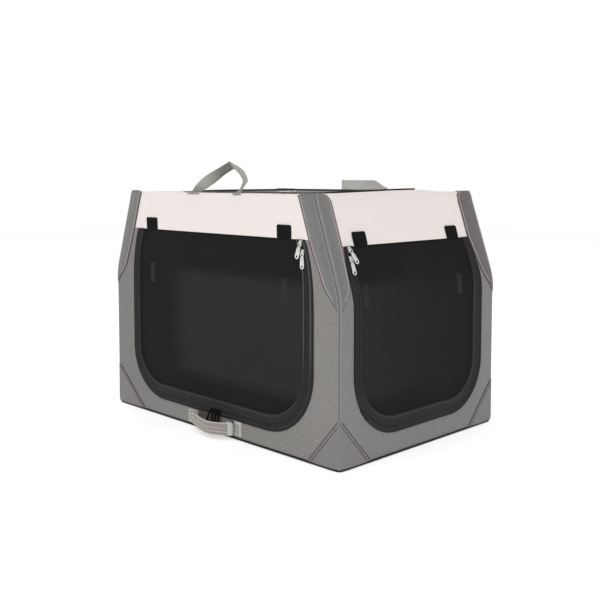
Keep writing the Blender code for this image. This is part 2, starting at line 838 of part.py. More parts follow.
def carry_handle():
    """The padded grip at the foot of the front wall, bowed out from its two stitched ends."""
    face = -DEPTH / 2 - SEAT - WEBBING_T - SEAT
    span, bow = GRIP_RIGHT - GRIP_LEFT, GRIP_BOW
    bows = ((0.0, 0.10), (0.18, 0.42), (0.40, 0.84), (0.64, 1.0), (0.82, 0.80), (0.93, 0.42), (1.0, 0.10))
    line = smooth_line(
        [(GRIP_LEFT + span * share, face - bow * out, GRIP_Z) for share, out in bows], 4
    )
    shape = band(line, [GRIP_W] * len(line), [Vector((0, 0, 1))] * len(line), GRIP_T)
    for corner in end_corners(shape):
        if corner.co.y > line[0].y:
            corner.co.y = face
    low, high = GRIP_Z - GRIP_W / 2, GRIP_Z + GRIP_W / 2

    def tapered(point):
        out = face - point.y
        if point.z > GRIP_Z:
            crown = GRIP_CROWN_FOOT + out * GRIP_CROWN_SLOPE
            return Vector((point.x, point.y, min(high, GRIP_Z + crown)))
        return Vector((point.x, point.y, max(low, GRIP_Z - GRIP_KEEL_FOOT - out)))

    return placed(shape, tapered)


def carry_webbing():
    outline = [
        (CARRY_WEB_LEFT, CARRY_WEB_BOTTOM), (CARRY_WEB_RIGHT, CARRY_WEB_BOTTOM),
        (CARRY_WEB_RIGHT, CARRY_WEB_TOP), (CARRY_WEB_LEFT, CARRY_WEB_TOP),
    ]
    return on_side_wall(prism(outline, SEAT, SEAT + WEBBING_T), -1)


# Zip sliders, made with u across the zip, v up it and w out of the wall


def slider():
    half_w, half_l, top = SLIDER_W / 2, SLIDER_L / 2, SEAT + SLIDER_T
    body = box((-half_w, -half_l, SEAT), (half_w, half_l, top), SLIDER_BEVEL)
    half_wire, half_bail = BAIL_WIRE / 2, BAIL_LENGTH / 2
    crown = top + BAIL_INSIDE + BAIL_WIRE
    bail = box((-half_wire, -half_bail, top - BAIL_ROOT), (half_wire, half_bail, crown))
    gap = box(
        (-half_w, -half_bail + BAIL_WIRE, top - BAIL_ROOT / 2),
        (half_w, half_bail - BAIL_WIRE, top + BAIL_INSIDE),
    )
    return joined(body, cut(bail, gap))


def pull_axis_height():
    return SEAT + SLIDER_T + BAIL_INSIDE / 2


def pull(tilt):
    """A flat puller whose eye's bar lies under the slider's bail, leaning by the tilt."""
    wide, thick, bar, eye_w = PULL_W / 2, PULL_T / 2, PULL_BAR / 2, PULL_EYE_W / 2
    shoulder, inset, eye_low = PULL_CORNER - PULL_L, wide - PULL_CORNER, -bar - PULL_EYE_L
    outline = [
        (-wide, bar), (-wide, shoulder), (-inset, -PULL_L),
        (inset, -PULL_L), (wide, shoulder), (wide, bar),
    ]
    eye = [(-eye_w, -bar), (eye_w, -bar), (eye_w, eye_low), (-eye_w, eye_low)]
    slot = stadium(PULL_HOLE_HALF, PULL_HOLE_R, PEG_ROUND)
    hole = [(u, v - PULL_L + PULL_HOLE_UP) for u, v in slot]
    shape = prism(outline, -thick, thick, [eye, hole])
    turn = Matrix.Rotation(tilt, 3, "Z")
    lift = Vector((0, 0, pull_axis_height()))
    return placed(shape, lambda p: turn @ p + lift)


def set_on(shape, place):
    shape.transform(place)
    return shape


def facing(point, across, up, out):
    """The matrix that sets a slider with its width across, its length up the zip and its top out."""
    turn = Matrix((across, up, out)).transposed().to_4x4()
    return Matrix.Translation(point) @ turn


def door_zip(side, half, top_half, bend, top, drop):
    """The place of a slider on a door's zip line, below its top: across the wall, and height."""
    z = top - drop
    return side * edge_half(half, top_half, (z - bend) / (top - bend)), z


def zip_places():
    """Where each pair of sliders sits on its zip line, and how far each pull leans from straight down."""
    front = (Vector((1, 0, 0)), Vector((0, 0, 1)), Vector((0, -1, 0)))
    end = (Vector((0, 1, 0)), LEG_UP.copy(), -LEG_INWARD)
    roof = (Vector((0, -1, 0)), Vector((1, 0, 0)), Vector((0, 0, 1)))
    pairs = {"front": [], "right": [], "roof": []}
    for drop, inset in ((ZIP_A_DROP, HATCH_ZIP_A), (ZIP_B_DROP, HATCH_ZIP_B)):
        x, z = door_zip(
            1, FRONT_DOOR_HALF, FRONT_DOOR_TOP_HALF, FRONT_DOOR_BEND, FRONT_YOKE_Z, drop
        )
        pairs["front"].append(Vector((x, -DEPTH / 2, z)))
        y, z = door_zip(-1, END_DOOR_HALF, END_DOOR_TOP_HALF, END_DOOR_BEND, END_YOKE_Z, drop)
        pairs["right"].append(on_end_wall(Vector((y + END_DOOR_SHIFT, along(z), 0))))
        pairs["roof"].append(Vector((HATCH_HALF_X - inset, -HATCH_HALF_Y, HEIGHT)))
    places = {}
    leaves = (("front", front, -1, "front_door"), ("right", end, 1, "right_door"),
              ("roof", roof, 1, "roof_hatch"))
    for name, axes, way, leaf in leaves:
        first, second = pairs[name]
        step = second - first
        tilt = math.atan2(step.dot(axes[0]), -step.dot(axes[1])) + way * PULL_LEAN
        places[f"{name}_zip_a"] = (first, axes, tilt, leaf)
        places[f"{name}_zip_b"] = (second, axes, 0.0, leaf)
    return places


KNOTS = end_knots()
ZIPS = zip_places()
FRONT_HINGE = (0, -DEPTH / 2, FRONT_YOKE_Z - SEAT / 2)
END_HINGE = on_end_wall(Vector((0, along(END_YOKE_Z) - SEAT / 2, 0)))
HATCH_HINGE = (HATCH_HALF_X, 0, HEIGHT)
STRAP_AXIS = HEIGHT + STRAP_AXIS_Z

TREE = {
    "right_lower": ("root", (BASE_X, 0, BASE_Z)),
    "right_upper": ("right_lower", (BASE_X, 0, KNEE_Z)),
    "top": ("right_upper", (TOP_X, 0, TOP_Z)),
    "left_lower": ("root", (-BASE_X, 0, BASE_Z)),
    "left_upper": ("left_lower", (-BASE_X, 0, KNEE_Z)),
    "front_door": ("root", FRONT_HINGE),
    "right_door": ("root", END_HINGE),
    "roof_hatch": ("top", HATCH_HINGE),
    "front_strap": ("top", (0, -DEPTH / 2 + STRAP_INSET, STRAP_AXIS)),
    "back_strap": ("top", (0, DEPTH / 2 - STRAP_INSET, STRAP_AXIS)),
    "carry_handle": ("root", (0, -DEPTH / 2 - SEAT - WEBBING_T - SEAT - GRIP_AXIS_OUT, GRIP_Z)),
}
for zip_name, (zip_point, zip_axes, zip_tilt, zip_leaf) in ZIPS.items():
    TREE[f"{zip_name}_slider"] = (zip_leaf, zip_point)
    TREE[f"{zip_name}_pull"] = (
        f"{zip_name}_slider", zip_point + zip_axes[2] * pull_axis_height(),
    )

clear_scene()
MATERIALS = make_finishes()
BODIES = add_bodies(TREE)


def build_frame():
    for side_y, way in ((-1, "front"), (1, "back")):
        finish_piece(
            f"base_rail_{way}", rail(BASE_X - HUB_R, BASE_Z, side_y), "steel_tube", smooth=True
        )
        finish_piece(
            f"top_rail_{way}", rail(TOP_X - TOP_REACH, TOP_Z, side_y), "steel_tube", "top", True
        )
        for side_x, end in ((1, "right"), (-1, "left")):
            corner = f"{way}_{end}"
            finish_piece(
                f"base_corner_{corner}", connector(BASE_X, BASE_Z, HUB_R, 0, side_x, side_y),
                "black_plastic", smooth=True,
            )
            slot = SLOT_HALF if end == "left" else 0
            finish_piece(
                f"top_corner_{corner}",
                connector(TOP_X, TOP_Z, TOP_REACH, slot, side_x, side_y),
                "black_plastic", "top", True,
            )
            lower = f"{end}_lower"
            hub, pin = knee_joint(side_x, side_y), knee_pin(side_x, side_y)
            finish_piece(f"knee_joint_{corner}", hub, "black_plastic", lower, True)
            finish_piece(f"knee_pin_{corner}", pin, "pin_steel", lower, True)
    for side_x, end in ((1, "right"), (-1, "left")):
        finish_piece(f"lower_hoop_{end}", lower_hoop(side_x), "steel_tube", f"{end}_lower", True)
        finish_piece(f"upper_hoop_{end}", upper_hoop(side_x), "steel_tube", f"{end}_upper", True)


def build_shell():
    finish_piece("floor_cover", floor_cover(), "black_fabric")
    finish_piece("floor_board", floor_board(), "board")
    for side, way in ((-1, "front"), (1, "back")):
        finish_piece(f"{way}_panel", side_wall(side), "grey_fabric")
        finish_piece(f"{way}_yoke", side_yoke(side), "white_fabric")
    for side, way in ((1, "right"), (-1, "left")):
        finish_piece(f"{way}_panel", end_wall(side), "grey_fabric")
        finish_piece(f"{way}_yoke", end_yoke(side), "white_fabric")
        for side_y, depth in ((-1, "front"), (1, "back")):
            finish_piece(f"corner_patch_{depth}_{way}", corner_patch(side, side_y), "dark_fabric")
    finish_piece("roof_panel", roof_panel(), "white_fabric", "top")


def build_leaves():
    front = front_edge(FRONT_YOKE_Z - SEAT)
    end = end_edge(END_YOKE_Z - SEAT * math.cos(LEAN))
    finish_piece("front_door", on_side_wall(framed(front, DOOR_T), -1), "black_mesh", "front_door")
    finish_piece("right_door", bent(framed(end, DOOR_T), 1), "black_mesh", "right_door")
    finish_piece("roof_hatch", roof_hatch(), "black_mesh", "roof_hatch")
    finish_piece("back_window", on_side_wall(framed(front, DOOR_T), 1), "black_mesh")
    finish_piece("left_window", bent(framed(end, DOOR_T), -1), "black_mesh")


def build_handles():
    finish_piece("front_strap_handle", front_strap(), "webbing", "front_strap")
    finish_piece("back_strap_handle", back_strap(), "webbing", "back_strap")
    finish_piece("carry_handle", carry_handle(), "webbing", "carry_handle")
    finish_piece("carry_handle_webbing", carry_webbing(), "webbing")


def build_zips():
    for name, (point, axes, tilt, _) in ZIPS.items():
        place = facing(point, *axes)
        finish_piece(f"{name}_slider", set_on(slider(), place), "zip_metal", f"{name}_slider")
        finish_piece(f"{name}_pull", set_on(pull(tilt), place), "zip_metal", f"{name}_pull")


build_frame()
build_shell()
build_leaves()
build_handles()
build_zips()
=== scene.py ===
import math

import bmesh
import bpy
from mathutils import Matrix, Vector, noise


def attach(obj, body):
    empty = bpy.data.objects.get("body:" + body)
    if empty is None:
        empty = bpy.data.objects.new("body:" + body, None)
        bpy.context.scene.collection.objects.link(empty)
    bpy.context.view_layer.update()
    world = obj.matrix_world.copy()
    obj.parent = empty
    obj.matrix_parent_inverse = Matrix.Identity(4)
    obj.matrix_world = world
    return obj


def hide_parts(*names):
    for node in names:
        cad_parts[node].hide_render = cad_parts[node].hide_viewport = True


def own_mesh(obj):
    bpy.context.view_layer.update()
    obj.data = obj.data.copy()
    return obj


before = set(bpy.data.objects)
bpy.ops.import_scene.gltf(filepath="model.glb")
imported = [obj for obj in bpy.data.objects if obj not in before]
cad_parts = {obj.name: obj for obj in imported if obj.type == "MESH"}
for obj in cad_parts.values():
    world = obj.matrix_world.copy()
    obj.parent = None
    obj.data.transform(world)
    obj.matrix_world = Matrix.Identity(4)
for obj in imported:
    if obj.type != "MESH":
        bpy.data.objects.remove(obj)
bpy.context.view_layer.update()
bpy.ops.object.select_all(action="DESELECT")

# The shell: its outer sizes, the lean of its end walls above their crease, and the heights
# where its bands begin
LENGTH, DEPTH, HEIGHT = 0.755, 0.515, 0.530
FRONT_Y = -DEPTH / 2
LEAN = math.radians(18.9)
CREASE_LOW = 0.31137
CREASE_R = 0.145
ROOF_HALF = 0.31091
FRONT_BAND, END_BAND = 0.4425, 0.430

# Its softness: the swell of its bands, the round end edges of its roof, the round of its corners,
# and the reach, the round top and the crown of its corner flaps
BAND_SWELL = 0.0018
CORNER_R = 0.003
EDGE_ROUND = 0.011
EDGE_DRAW = EDGE_ROUND * math.tan((math.pi / 2 - LEAN) / 2)
FLAP_FRONT, FLAP_END, FLAP_ROUND = 0.0440, 0.0385, 0.016
FLAP_LEFT, FLAP_FAR, FLAP_TALL = 0.0390, 0.055, 0.232
CROWN = 0.0035

X, Y, Z = Vector((1, 0, 0)), Vector((0, 1, 0)), Vector((0, 0, 1))


# Places on the walls: u to the right as seen from outside, s up the cloth, out from it


def eased(value):
    value = max(0.0, min(1.0, value))
    return value * value * (3 - 2 * value)


def mix(a, b, share):
    return a + (b - a) * share


def spread(a, b, count):
    """Places from a to b, evenly apart, with both ends."""
    return [mix(a, b, i / count) for i in range(count + 1)]


def steps(low, high, size):
    """Places between two ends, about this far apart, without the ends."""
    return spread(low, high, max(2, round((high - low) / size)))[1:-1]


def along(z):
    """How far up an end wall's cloth a height lies."""
    over = z - CREASE_LOW
    bend_top = CREASE_R * math.sin(LEAN)
    if over <= 0:
        return z
    if over < bend_top:
        return CREASE_LOW + CREASE_R * math.asin(over / CREASE_R)
    return CREASE_LOW + CREASE_R * LEAN + (over - bend_top) / math.cos(LEAN)


def softened(x, z, tilt):
    """Draws a place in to the soft roundness of the roof's end edges."""
    dx, dz = x - (ROOF_HALF - EDGE_DRAW), z - (HEIGHT - EDGE_ROUND)
    angle = math.atan2(dz, dx)
    if not LEAN < angle < math.pi / 2 or math.hypot(dx, dz) < EDGE_ROUND:
        return x, z, tilt
    x = ROOF_HALF - EDGE_DRAW + EDGE_ROUND * math.cos(angle)
    return x, HEIGHT - EDGE_ROUND + EDGE_ROUND * math.sin(angle), angle


def end_profile(s):
    """The end wall's outer face at a distance up its cloth: x, z and how far it tilts."""
    tilt = min(max((s - CREASE_LOW) / CREASE_R, 0.0), LEAN)
    over = max(s - CREASE_LOW - CREASE_R * LEAN, 0.0)
    x = LENGTH / 2 - CREASE_R * (1 - math.cos(tilt)) - over * math.sin(LEAN)
    z = min(s, CREASE_LOW) + CREASE_R * math.sin(tilt) + over * math.cos(LEAN)
    return softened(x, z, tilt)


def wall_half(z):
    return end_profile(along(z))[0]


SEEDS = {"front": 1.3, "back": 4.1, "right": 7.7, "left": 9.2, "roof": 2.5}


def hump(distance, reach):
    return math.exp(-((distance / reach) ** 2))


def roof_lie(u, s):
    """How the roof lies: it stands up along the hatch's right edge and sags towards the left."""
    front = mix(-0.0036, 0.0002, eased((u + 0.22) / 0.28)) * hump(s + 0.185, 0.06)
    side = 0.0056 * eased((s + 0.20) / 0.38) * hump(max(0.0, 0.222 - u), 0.055)
    sag = 0.0025 * eased((0.20 - abs(u)) / 0.15) * eased((0.17 - abs(s)) / 0.12)
    fade = eased((ROOF_HALF - 0.004 - abs(u)) / 0.080) * eased((DEPTH / 2 - 0.032 - abs(s)) / 0.045)
    return (front + side - sag) * fade


def swell(face, u, s):
    """How far the soft cloth stands out from its flat plate."""
    if face == "roof":
        return roof_lie(u, s)
    if face in ("front", "back"):
        low, top, half = FRONT_BAND, HEIGHT, wall_half(min(s, HEIGHT)) - FLAP_FRONT
    else:
        low, top, half = along(END_BAND), along(HEIGHT), DEPTH / 2 - FLAP_END
    if s <= low or abs(u) >= half:
        return 0.0
    rise = min((s - low) / (top - low), 1.0)
    wave = 0.8 + 0.7 * noise.noise(Vector((u * 11, s * 16, SEEDS[face])))
    return BAND_SWELL * math.sin(math.pi * rise) * (1 - (u / half) ** 4) * wave


def on_face(face, u, s, out=0.0):
    """A place on a face. The brim is where the roof turns down over its front edge."""
    out += swell(face, u, s)
    if face == "roof":
        x, z, tilt = softened(abs(u), HEIGHT, math.pi / 2)
        return Vector((math.copysign(x + out * math.cos(tilt), u), s, z + out * math.sin(tilt)))
    if face == "brim":
        if s < 0:
            return Vector((u, FRONT_Y - out, HEIGHT + s))
        return Vector((u, s + FRONT_Y - min(out, 0.001), HEIGHT + out))
    if face == "front":
        return Vector((u, FRONT_Y - out, s))
    if face == "back":
        return Vector((-u, out - FRONT_Y, s))
    x, z, tilt = end_profile(s)
    side = 1 if face == "right" else -1
    return Vector((side * (x + out * math.cos(tilt)), side * u, z + out * math.sin(tilt)))


def by_corner(ways, a, height, out, edge=0.0):
    """A place by a vertical corner: a below 0 lies on the side wall, above 0 on the end wall. edge
    is how far in it lies from the edge of a corner flap, whose soft crown lifts it near its top."""
    x, z, tilt = end_profile(along(height))
    quarter = CORNER_R * math.pi / 4
    if abs(a) <= quarter:
        turn = math.pi / 4 * (a / quarter - 1)
        over = -CORNER_R + (CORNER_R + out) * math.cos(turn)
        back = CORNER_R + (CORNER_R + out) * math.sin(turn)
    elif a > 0:
        over, back = out, CORNER_R + a - quarter
    else:
        over, back = -CORNER_R + a + quarter, -out
    z += CROWN * eased(edge / 0.011) * eased((height - 0.512) / 0.017)
    if over > 0:
        z += over * math.sin(tilt)
        over *= math.cos(tilt)
    return Vector((ways[0] * (x + over), ways[1] * (DEPTH / 2 - back), z))


def foot_softened(piece, radius=0.008, reach=0.022):
    """Draws the four lower corners of a piece in to their soft roundness."""
    for corner in piece.data.vertices:
        x, y, z = corner.co
        if z < radius:
            near = eased(1 - (LENGTH / 2 - abs(x)) / reach)
            near *= eased(1 - (DEPTH / 2 - abs(y)) / reach)
            draw = near * (radius - math.sqrt(radius**2 - (radius - z) ** 2))
            corner.co.x -= math.copysign(draw, x)
            corner.co.y -= math.copysign(draw, y)
    return piece


# Modelling with grids: rows of places become sheets, and rings of places become closed bodies


def pick(*pieces):
    """Selects these pieces alone, the first one active."""
    bpy.ops.object.select_all(action="DESELECT")
    for piece in reversed(pieces):
        piece.select_set(True)
        bpy.context.view_layer.objects.active = piece


def called(piece, name):
    piece.name = piece.data.name = name
    return piece


def work_on(piece):
    pick(piece)
    bpy.ops.object.mode_set(mode="EDIT")
    bpy.ops.mesh.select_all(action="SELECT")


def leave():
    bpy.ops.object.mode_set(mode="OBJECT")


def use_modifier(piece, kind, **settings):
    """Adds a modifier and applies it."""
    pick(piece)
    made = piece.modifiers.new(kind.lower(), kind)
    for key, value in settings.items():
        setattr(made, key, value)
    bpy.ops.object.modifier_apply(modifier=made.name)
    return piece


def use_bevel(piece, width, angle):
    settings = {"segments": 2, "limit_method": "ANGLE", "angle_limit": math.radians(angle)}
    return use_modifier(piece, "BEVEL", width=width, **settings)


def runs(points):
    """How far along a line each of its points lies."""
    total, out = 0.0, [0.0]
    for a, b in zip(points, points[1:]):
        total += (b - a).length
        out.append(total)
    return out


def sheet_of(name, rows):
    """A sheet through rows of places, with a UV map in metres."""
    pick()
    count = len(rows[0])
    bpy.ops.mesh.primitive_grid_add(x_subdivisions=count - 1, y_subdivisions=len(rows) - 1, size=1)
    piece = called(bpy.context.object, name)
    piece.data.vertices.foreach_set("co", [c for row in rows for p in row for c in p])
    across, down = runs(rows[len(rows) // 2]), runs([row[0] for row in rows])
    cloth_map = piece.data.uv_layers.active.data
    for loop in piece.data.loops:
        i = loop.vertex_index
        cloth_map[loop.index].uv = (across[i % count], down[i // count])
    return piece


def sewn(piece, cap=True):
    """Merges the doubles, closes the ends and turns the faces out."""
    work_on(piece)
    bpy.ops.mesh.remove_doubles(threshold=2e-6)
    if cap:
        bpy.ops.mesh.fill_holes(sides=0)
    bpy.ops.mesh.normals_make_consistent(inside=False)
    leave()
    return piece


def rolled(name, rings, loop=False):
    """A closed body through rings of places: a grid that is rolled up and sewn along its side."""
    rows = [[*ring, ring[0]] for ring in rings]
    if loop:
        rows.append(rows[0])
    return sewn(sheet_of(name, rows), cap=not loop)


def smooth(piece, angle=35):
    pick(piece)
    bpy.ops.object.shade_smooth_by_angle(angle=math.radians(angle))
    return piece


def joined(name, pieces):
    pick(*pieces)
    bpy.ops.object.join()
    return called(pieces[0], name)


def next_to(line, loop=False):
    """The places after and before each place of a line."""
    last = len(line) - 1
    for i, place in enumerate(line):
        ahead = line[(i + 1) % len(line)] if loop or i < last else place
        yield ahead, line[i - 1] if loop or i else place


def circle(count):
    """The cosine and sine of even turns round a circle."""
    turns = [2 * math.pi * k / count for k in range(count)]
    return [(math.cos(turn), math.sin(turn)) for turn in turns]


def bulged(value, power):
    """Pushes a place on a circle out towards a square, the more the smaller the power."""
    return math.copysign(abs(value) ** power, value)


def rope(name, points, radius, sides=8, loop=False):
    """A round cord through places."""
    rings = []
    side = None
    for point, (ahead, behind) in zip(points, next_to(points, loop)):
        run = (ahead - behind).normalized()
        if side is None:
            side = run.orthogonal().normalized()
        side = (side - run * side.dot(run)).normalized()
        other = run.cross(side)
        rings.append([point + (side * a + other * b) * radius for a, b in circle(sides)])
    return smooth(rolled(name, rings, loop), 60)


def curve_through(points, count):
    """A smooth curve through places, with this many parts between two of them."""
    rows = [Vector(p) for p in points]
    rows = [2 * rows[0] - rows[1], *rows, 2 * rows[-1] - rows[-2]]
    line = []
    for a, b, c, d in zip(rows, rows[1:], rows[2:], rows[3:]):
        for t in (i / count for i in range(count)):
            square = (2 * a - 5 * b + 4 * c - d) * t**2
            line.append((2 * b + (c - a) * t + square + (3 * b - a - 3 * c + d) * t**3) / 2)
    return [*line, rows[-2]]


# Lines on the cloth


def inward(path, loop=False):
    """The way to the right of a line at each of its points."""
    ways = []
    for ahead, behind in next_to(path, loop):
        du, ds = ahead[0] - behind[0], ahead[1] - behind[1]
        size = math.hypot(du, ds)
        ways.append((ds / size, -du / size))
    return ways


def beside(path, across, loop=False):
    ways = inward(path, loop)
    return [(u + nu * across, s + ns * across) for (u, s), (nu, ns) in zip(path, ways)]


EVEN = (0.0, 0.0, 0.0)


def laid(name, face, path, section, loop=False, wider=EVEN):
    """A tape sewn along a line. section lists (to the right of the line, out from the cloth), and
    wider how much more it takes on its right leg, its foot and its left leg."""
    rings = []
    last = len(path) - 1
    for i, ((u, s), (nu, ns)) in enumerate(zip(path, inward(path, loop))):
        legs = wider[0] * max(0.0, -nu) ** 1.5 + wider[2] * max(0.0, nu) ** 1.5
        grow = 1 + wider[1] * max(0.0, ns) ** 1.5 + legs * eased((0.40 - s) / 0.10)
        if not loop and i in (0, last) and abs(ns) < 0.5:
            ns = 0.0
        rings.append([on_face(face, u + nu * d * grow, s + ns * d * grow, o) for d, o in section])
    return smooth(rolled(name, rings, loop))


def u_line(half, top_half, bottom, top, bend, radii, shift=0.0, rise=float):
    """The U of a door's zip: from its upper right end round its foot to its upper left end. radii
    are those of its right and left lower corners, and rise turns a height into a place up the
    cloth."""
    legs = []
    for radius in radii:
        shares = [1 - i / 8 for i in range(8)]
        turns = [math.pi / 2 * i / 14 for i in range(14)]
        legs.append([
            *((half - (half - top_half) * share**2, mix(bend, top, share)) for share in shares),
            *((half, height) for height in spread(bend, bottom + radius, 10)[:-1]),
            *((half - radius * (1 - math.cos(turn)), bottom + radius * (1 - math.sin(turn)))
              for turn in turns),
            *(((half - radius) * share, bottom) for share in shares),
        ])
    whole = [*legs[0], (0.0, bottom), *((-u, v) for u, v in reversed(legs[1]))]
    return [(u + shift, rise(v)) for u, v in whole]


FRONT_LINE = u_line(0.291, 0.27097, 0.054, FRONT_BAND, 0.345, (0.122, 0.105))
RIGHT_LINE = u_line(0.205, 0.195, 0.060, END_BAND, 0.330, (0.100, 0.122), -0.005, along)
LEFT_LINE = u_line(0.205, 0.195, 0.060, END_BAND, 0.330, (0.122, 0.100), 0.005, along)


def round_corners(low, high, radius, count):
    """The four round corners of a rectangle, clockwise from its upper right, each a short line."""
    corners = []
    for way_u, way_s, start in ((1, 1, 90), (1, -1, 0), (-1, -1, -90), (-1, 1, -180)):
        u = (high[0] if way_u > 0 else low[0]) - way_u * radius
        s = (high[1] if way_s > 0 else low[1]) - way_s * radius
        turns = [math.radians(turn) for turn in spread(start, start - 90, count)]
        corners.append([(u + radius * math.cos(t), s + radius * math.sin(t)) for t in turns])
    return corners


def hatch_line(half_u=0.21, half_s=0.18, radius=0.030):
    """The hatch's zip line, clockwise as seen from above."""
    path = []
    corners = round_corners((-half_u, -half_s), (half_u, half_s), radius, 8)
    for corner, following in zip(corners, corners[1:] + corners[:1]):
        straight = [spread(a, b, 8)[1:-1] for a, b in zip(corner[-1], following[0])]
        path += [*corner, *zip(*straight)]
    return path


HATCH_LINE = hatch_line()

# Finishes


def feed(tree, socket, value):
    if isinstance(value, bpy.types.NodeSocket):
        tree.links.new(value, socket)
    else:
        socket.default_value = value


def wire(tree, kind, *inputs, named=None, **settings):
    """A node with its inputs fed in order, then by name. Gives its first output."""
    made = tree.nodes.new("ShaderNode" + kind)
    for key, value in settings.items():
        setattr(made, key, value)
    for socket, value in zip(made.inputs, inputs):
        feed(tree, socket, value)
    for key, value in (named or {}).items():
        feed(tree, made.inputs[key], value)
    return made.outputs[0]


def sums(tree, operation, a, b=0.0, c=0.0):
    return wire(tree, "Math", a, b, c, operation=operation)


def clouds(tree, places, scale, detail=3.0):
    return wire(tree, "TexNoise", named={"Vector": places, "Scale": scale, "Detail": detail})


def ridges(tree, way, pitch):
    """Waves along a way, from -1 to 1."""
    return sums(tree, "SINE", sums(tree, "MULTIPLY", way, 2 * math.pi / pitch))


def between(tree, share, first, second):
    """A colour between two colours, each given as three numbers or as another node's output."""
    made = tree.nodes.new("ShaderNodeMix")
    made.data_type = "RGBA"
    feed(tree, made.inputs[0], share)
    for socket, colour in ((made.inputs[6], first), (made.inputs[7], second)):
        feed(tree, socket, colour if isinstance(colour, bpy.types.NodeSocket) else (*colour, 1))
    return made.outputs[2]


def coloured(tree, shader, shade, dark, light, relief=None):
    """Gives a surface its shade, and its relief in metres."""
    tree.links.new(between(tree, shade, dark, light), shader.inputs["Base Color"])
    if relief is not None:
        bump = wire(tree, "Bump", named={"Strength": 1.0, "Distance": 1.0, "Height": relief})
        tree.links.new(bump, shader.inputs["Normal"])


def cloth_ways(tree, laid_by):
    """The two ways of the weave, in metres, and the places on the piece."""
    found = tree.nodes.new("ShaderNodeTexCoord").outputs
    parts = tree.nodes.new("ShaderNodeSeparateXYZ")
    tree.links.new(found["UV" if laid_by == "map" else "Object"], parts.inputs[0])
    x, y, z = parts.outputs
    if laid_by == "wall":
        return sums(tree, "ADD", x, y), z, found["Object"]
    return x, y, found["Object"]


def weave(tree, u, v, pitch, kind):
    """The height of the yarns, from -1 to 1."""
    if kind == "ribs":
        return ridges(tree, v, pitch)
    if kind in ("twill", "net"):
        u, v = sums(tree, "ADD", u, v), sums(tree, "SUBTRACT", u, v)
    first = ridges(tree, u, pitch)
    if kind == "twill":
        return first
    second = ridges(tree, v, pitch)
    if kind == "net":
        return sums(tree, "MULTIPLY_ADD", second, 0.7, sums(tree, "MULTIPLY", first, 0.3))
    return sums(tree, "MULTIPLY", first, second)


def slopes(tree, ways, ramps):
    """Soft ramps over the cloth, each from 0 at its first place to 1 at its second, multiplied."""
    total = 1.0
    for way, start, end in ramps:
        made = tree.nodes.new("ShaderNodeMapRange")
        made.interpolation_type = "SMOOTHSTEP"
        falls = float(start > end)
        limits = (min(start, end), max(start, end), falls, 1 - falls)
        for socket, value in zip(made.inputs, (ways[way], *limits)):
            feed(tree, socket, value)
        total = sums(tree, "MULTIPLY", made.outputs[0], total)
    return total


def shader_of(name, roughness, metallic=0.0, sheen=0.0, specular=0.5):
    material = bpy.data.materials.new(name)
    material.use_nodes = True
    tree = material.node_tree
    shader = tree.nodes["Principled BSDF"]
    shader.inputs["Roughness"].default_value = roughness
    shader.inputs["Metallic"].default_value = metallic
    shader.inputs["Specular IOR Level"].default_value = specular
    if sheen:
        shader.inputs["Sheen Weight"].default_value = sheen
        shader.inputs["Sheen Roughness"].default_value = 0.5
    return material, tree, shader


def woven(name, colour, pitch, kind="plain", laid_by="wall", contrast=0.10, yarn=0.00004,
          slack=0.0025, cloud=0.10, fleck=0.30, roughness=0.85, sheen=0.15, specular=0.25,
          span=0.5, ribs=None, lit=None):
    """A cloth: its yarns, flecks and slow clouds of shade, with soft slack in its surface. ribs is
    (pitch, slope, depth), and lit is (least shade, how much more, where) for light and shade
    painted onto the cloth in some places."""
    material, tree, shader = shader_of(name, roughness, sheen=sheen, specular=specular)
    u, v, places = cloth_ways(tree, laid_by)
    yarns = weave(tree, u, v, pitch, kind)
    slow, quick = clouds(tree, places, 7.0), clouds(tree, places, 240.0)
    base = 0.5
    if lit:
        least, more, ramps = lit
        base = sums(tree, "MULTIPLY_ADD", slopes(tree, {"u": u, "v": v}, ramps), more, least)
    shade = sums(tree, "MULTIPLY_ADD", yarns, contrast, base)
    for waves, depth in ((slow, cloud), (quick, fleck)):
        shade = sums(tree, "ADD", shade, sums(tree, "MULTIPLY_ADD", waves, depth, -depth / 2))
    if ribs:
        rib, slope, depth = ribs
        way = sums(tree, "ADD", v, sums(tree, "MULTIPLY", u, slope))
        way = sums(tree, "MULTIPLY_ADD", clouds(tree, places, 5.0, 1.0), 0.030, way)
        shade = sums(tree, "ADD", shade, sums(tree, "MULTIPLY", ridges(tree, way, rib), depth))
    height = sums(tree, "MULTIPLY", yarns, yarn)
    height = sums(tree, "ADD", height, sums(tree, "MULTIPLY", slow, slack))
    dark, light = [c * (1 - span) for c in colour], [c * (1 + span) for c in colour]
    coloured(tree, shader, shade, dark, light, height)
    return material


def hard(name, colour, roughness, metallic, grain=600.0, depth=0.00003, span=0.12):
    """Metal or moulded plastic with a fine grain and slight wear."""
    material, tree, shader = shader_of(name, roughness, metallic)
    places = tree.nodes.new("ShaderNodeTexCoord").outputs["Object"]
    fine, slow = clouds(tree, places, grain), clouds(tree, places, 24.0, 2.0)
    shade = sums(tree, "MULTIPLY_ADD", slow, span * 2, 0.5 - span)
    dark, light = [c * 0.6 for c in colour], [min(1, c * 1.4) for c in colour]
    coloured(tree, shader, shade, dark, light, sums(tree, "MULTIPLY", fine, depth))
    rough = sums(tree, "MULTIPLY_ADD", fine, 0.2, roughness - 0.1)
    tree.links.new(rough, shader.inputs["Roughness"])
    return material


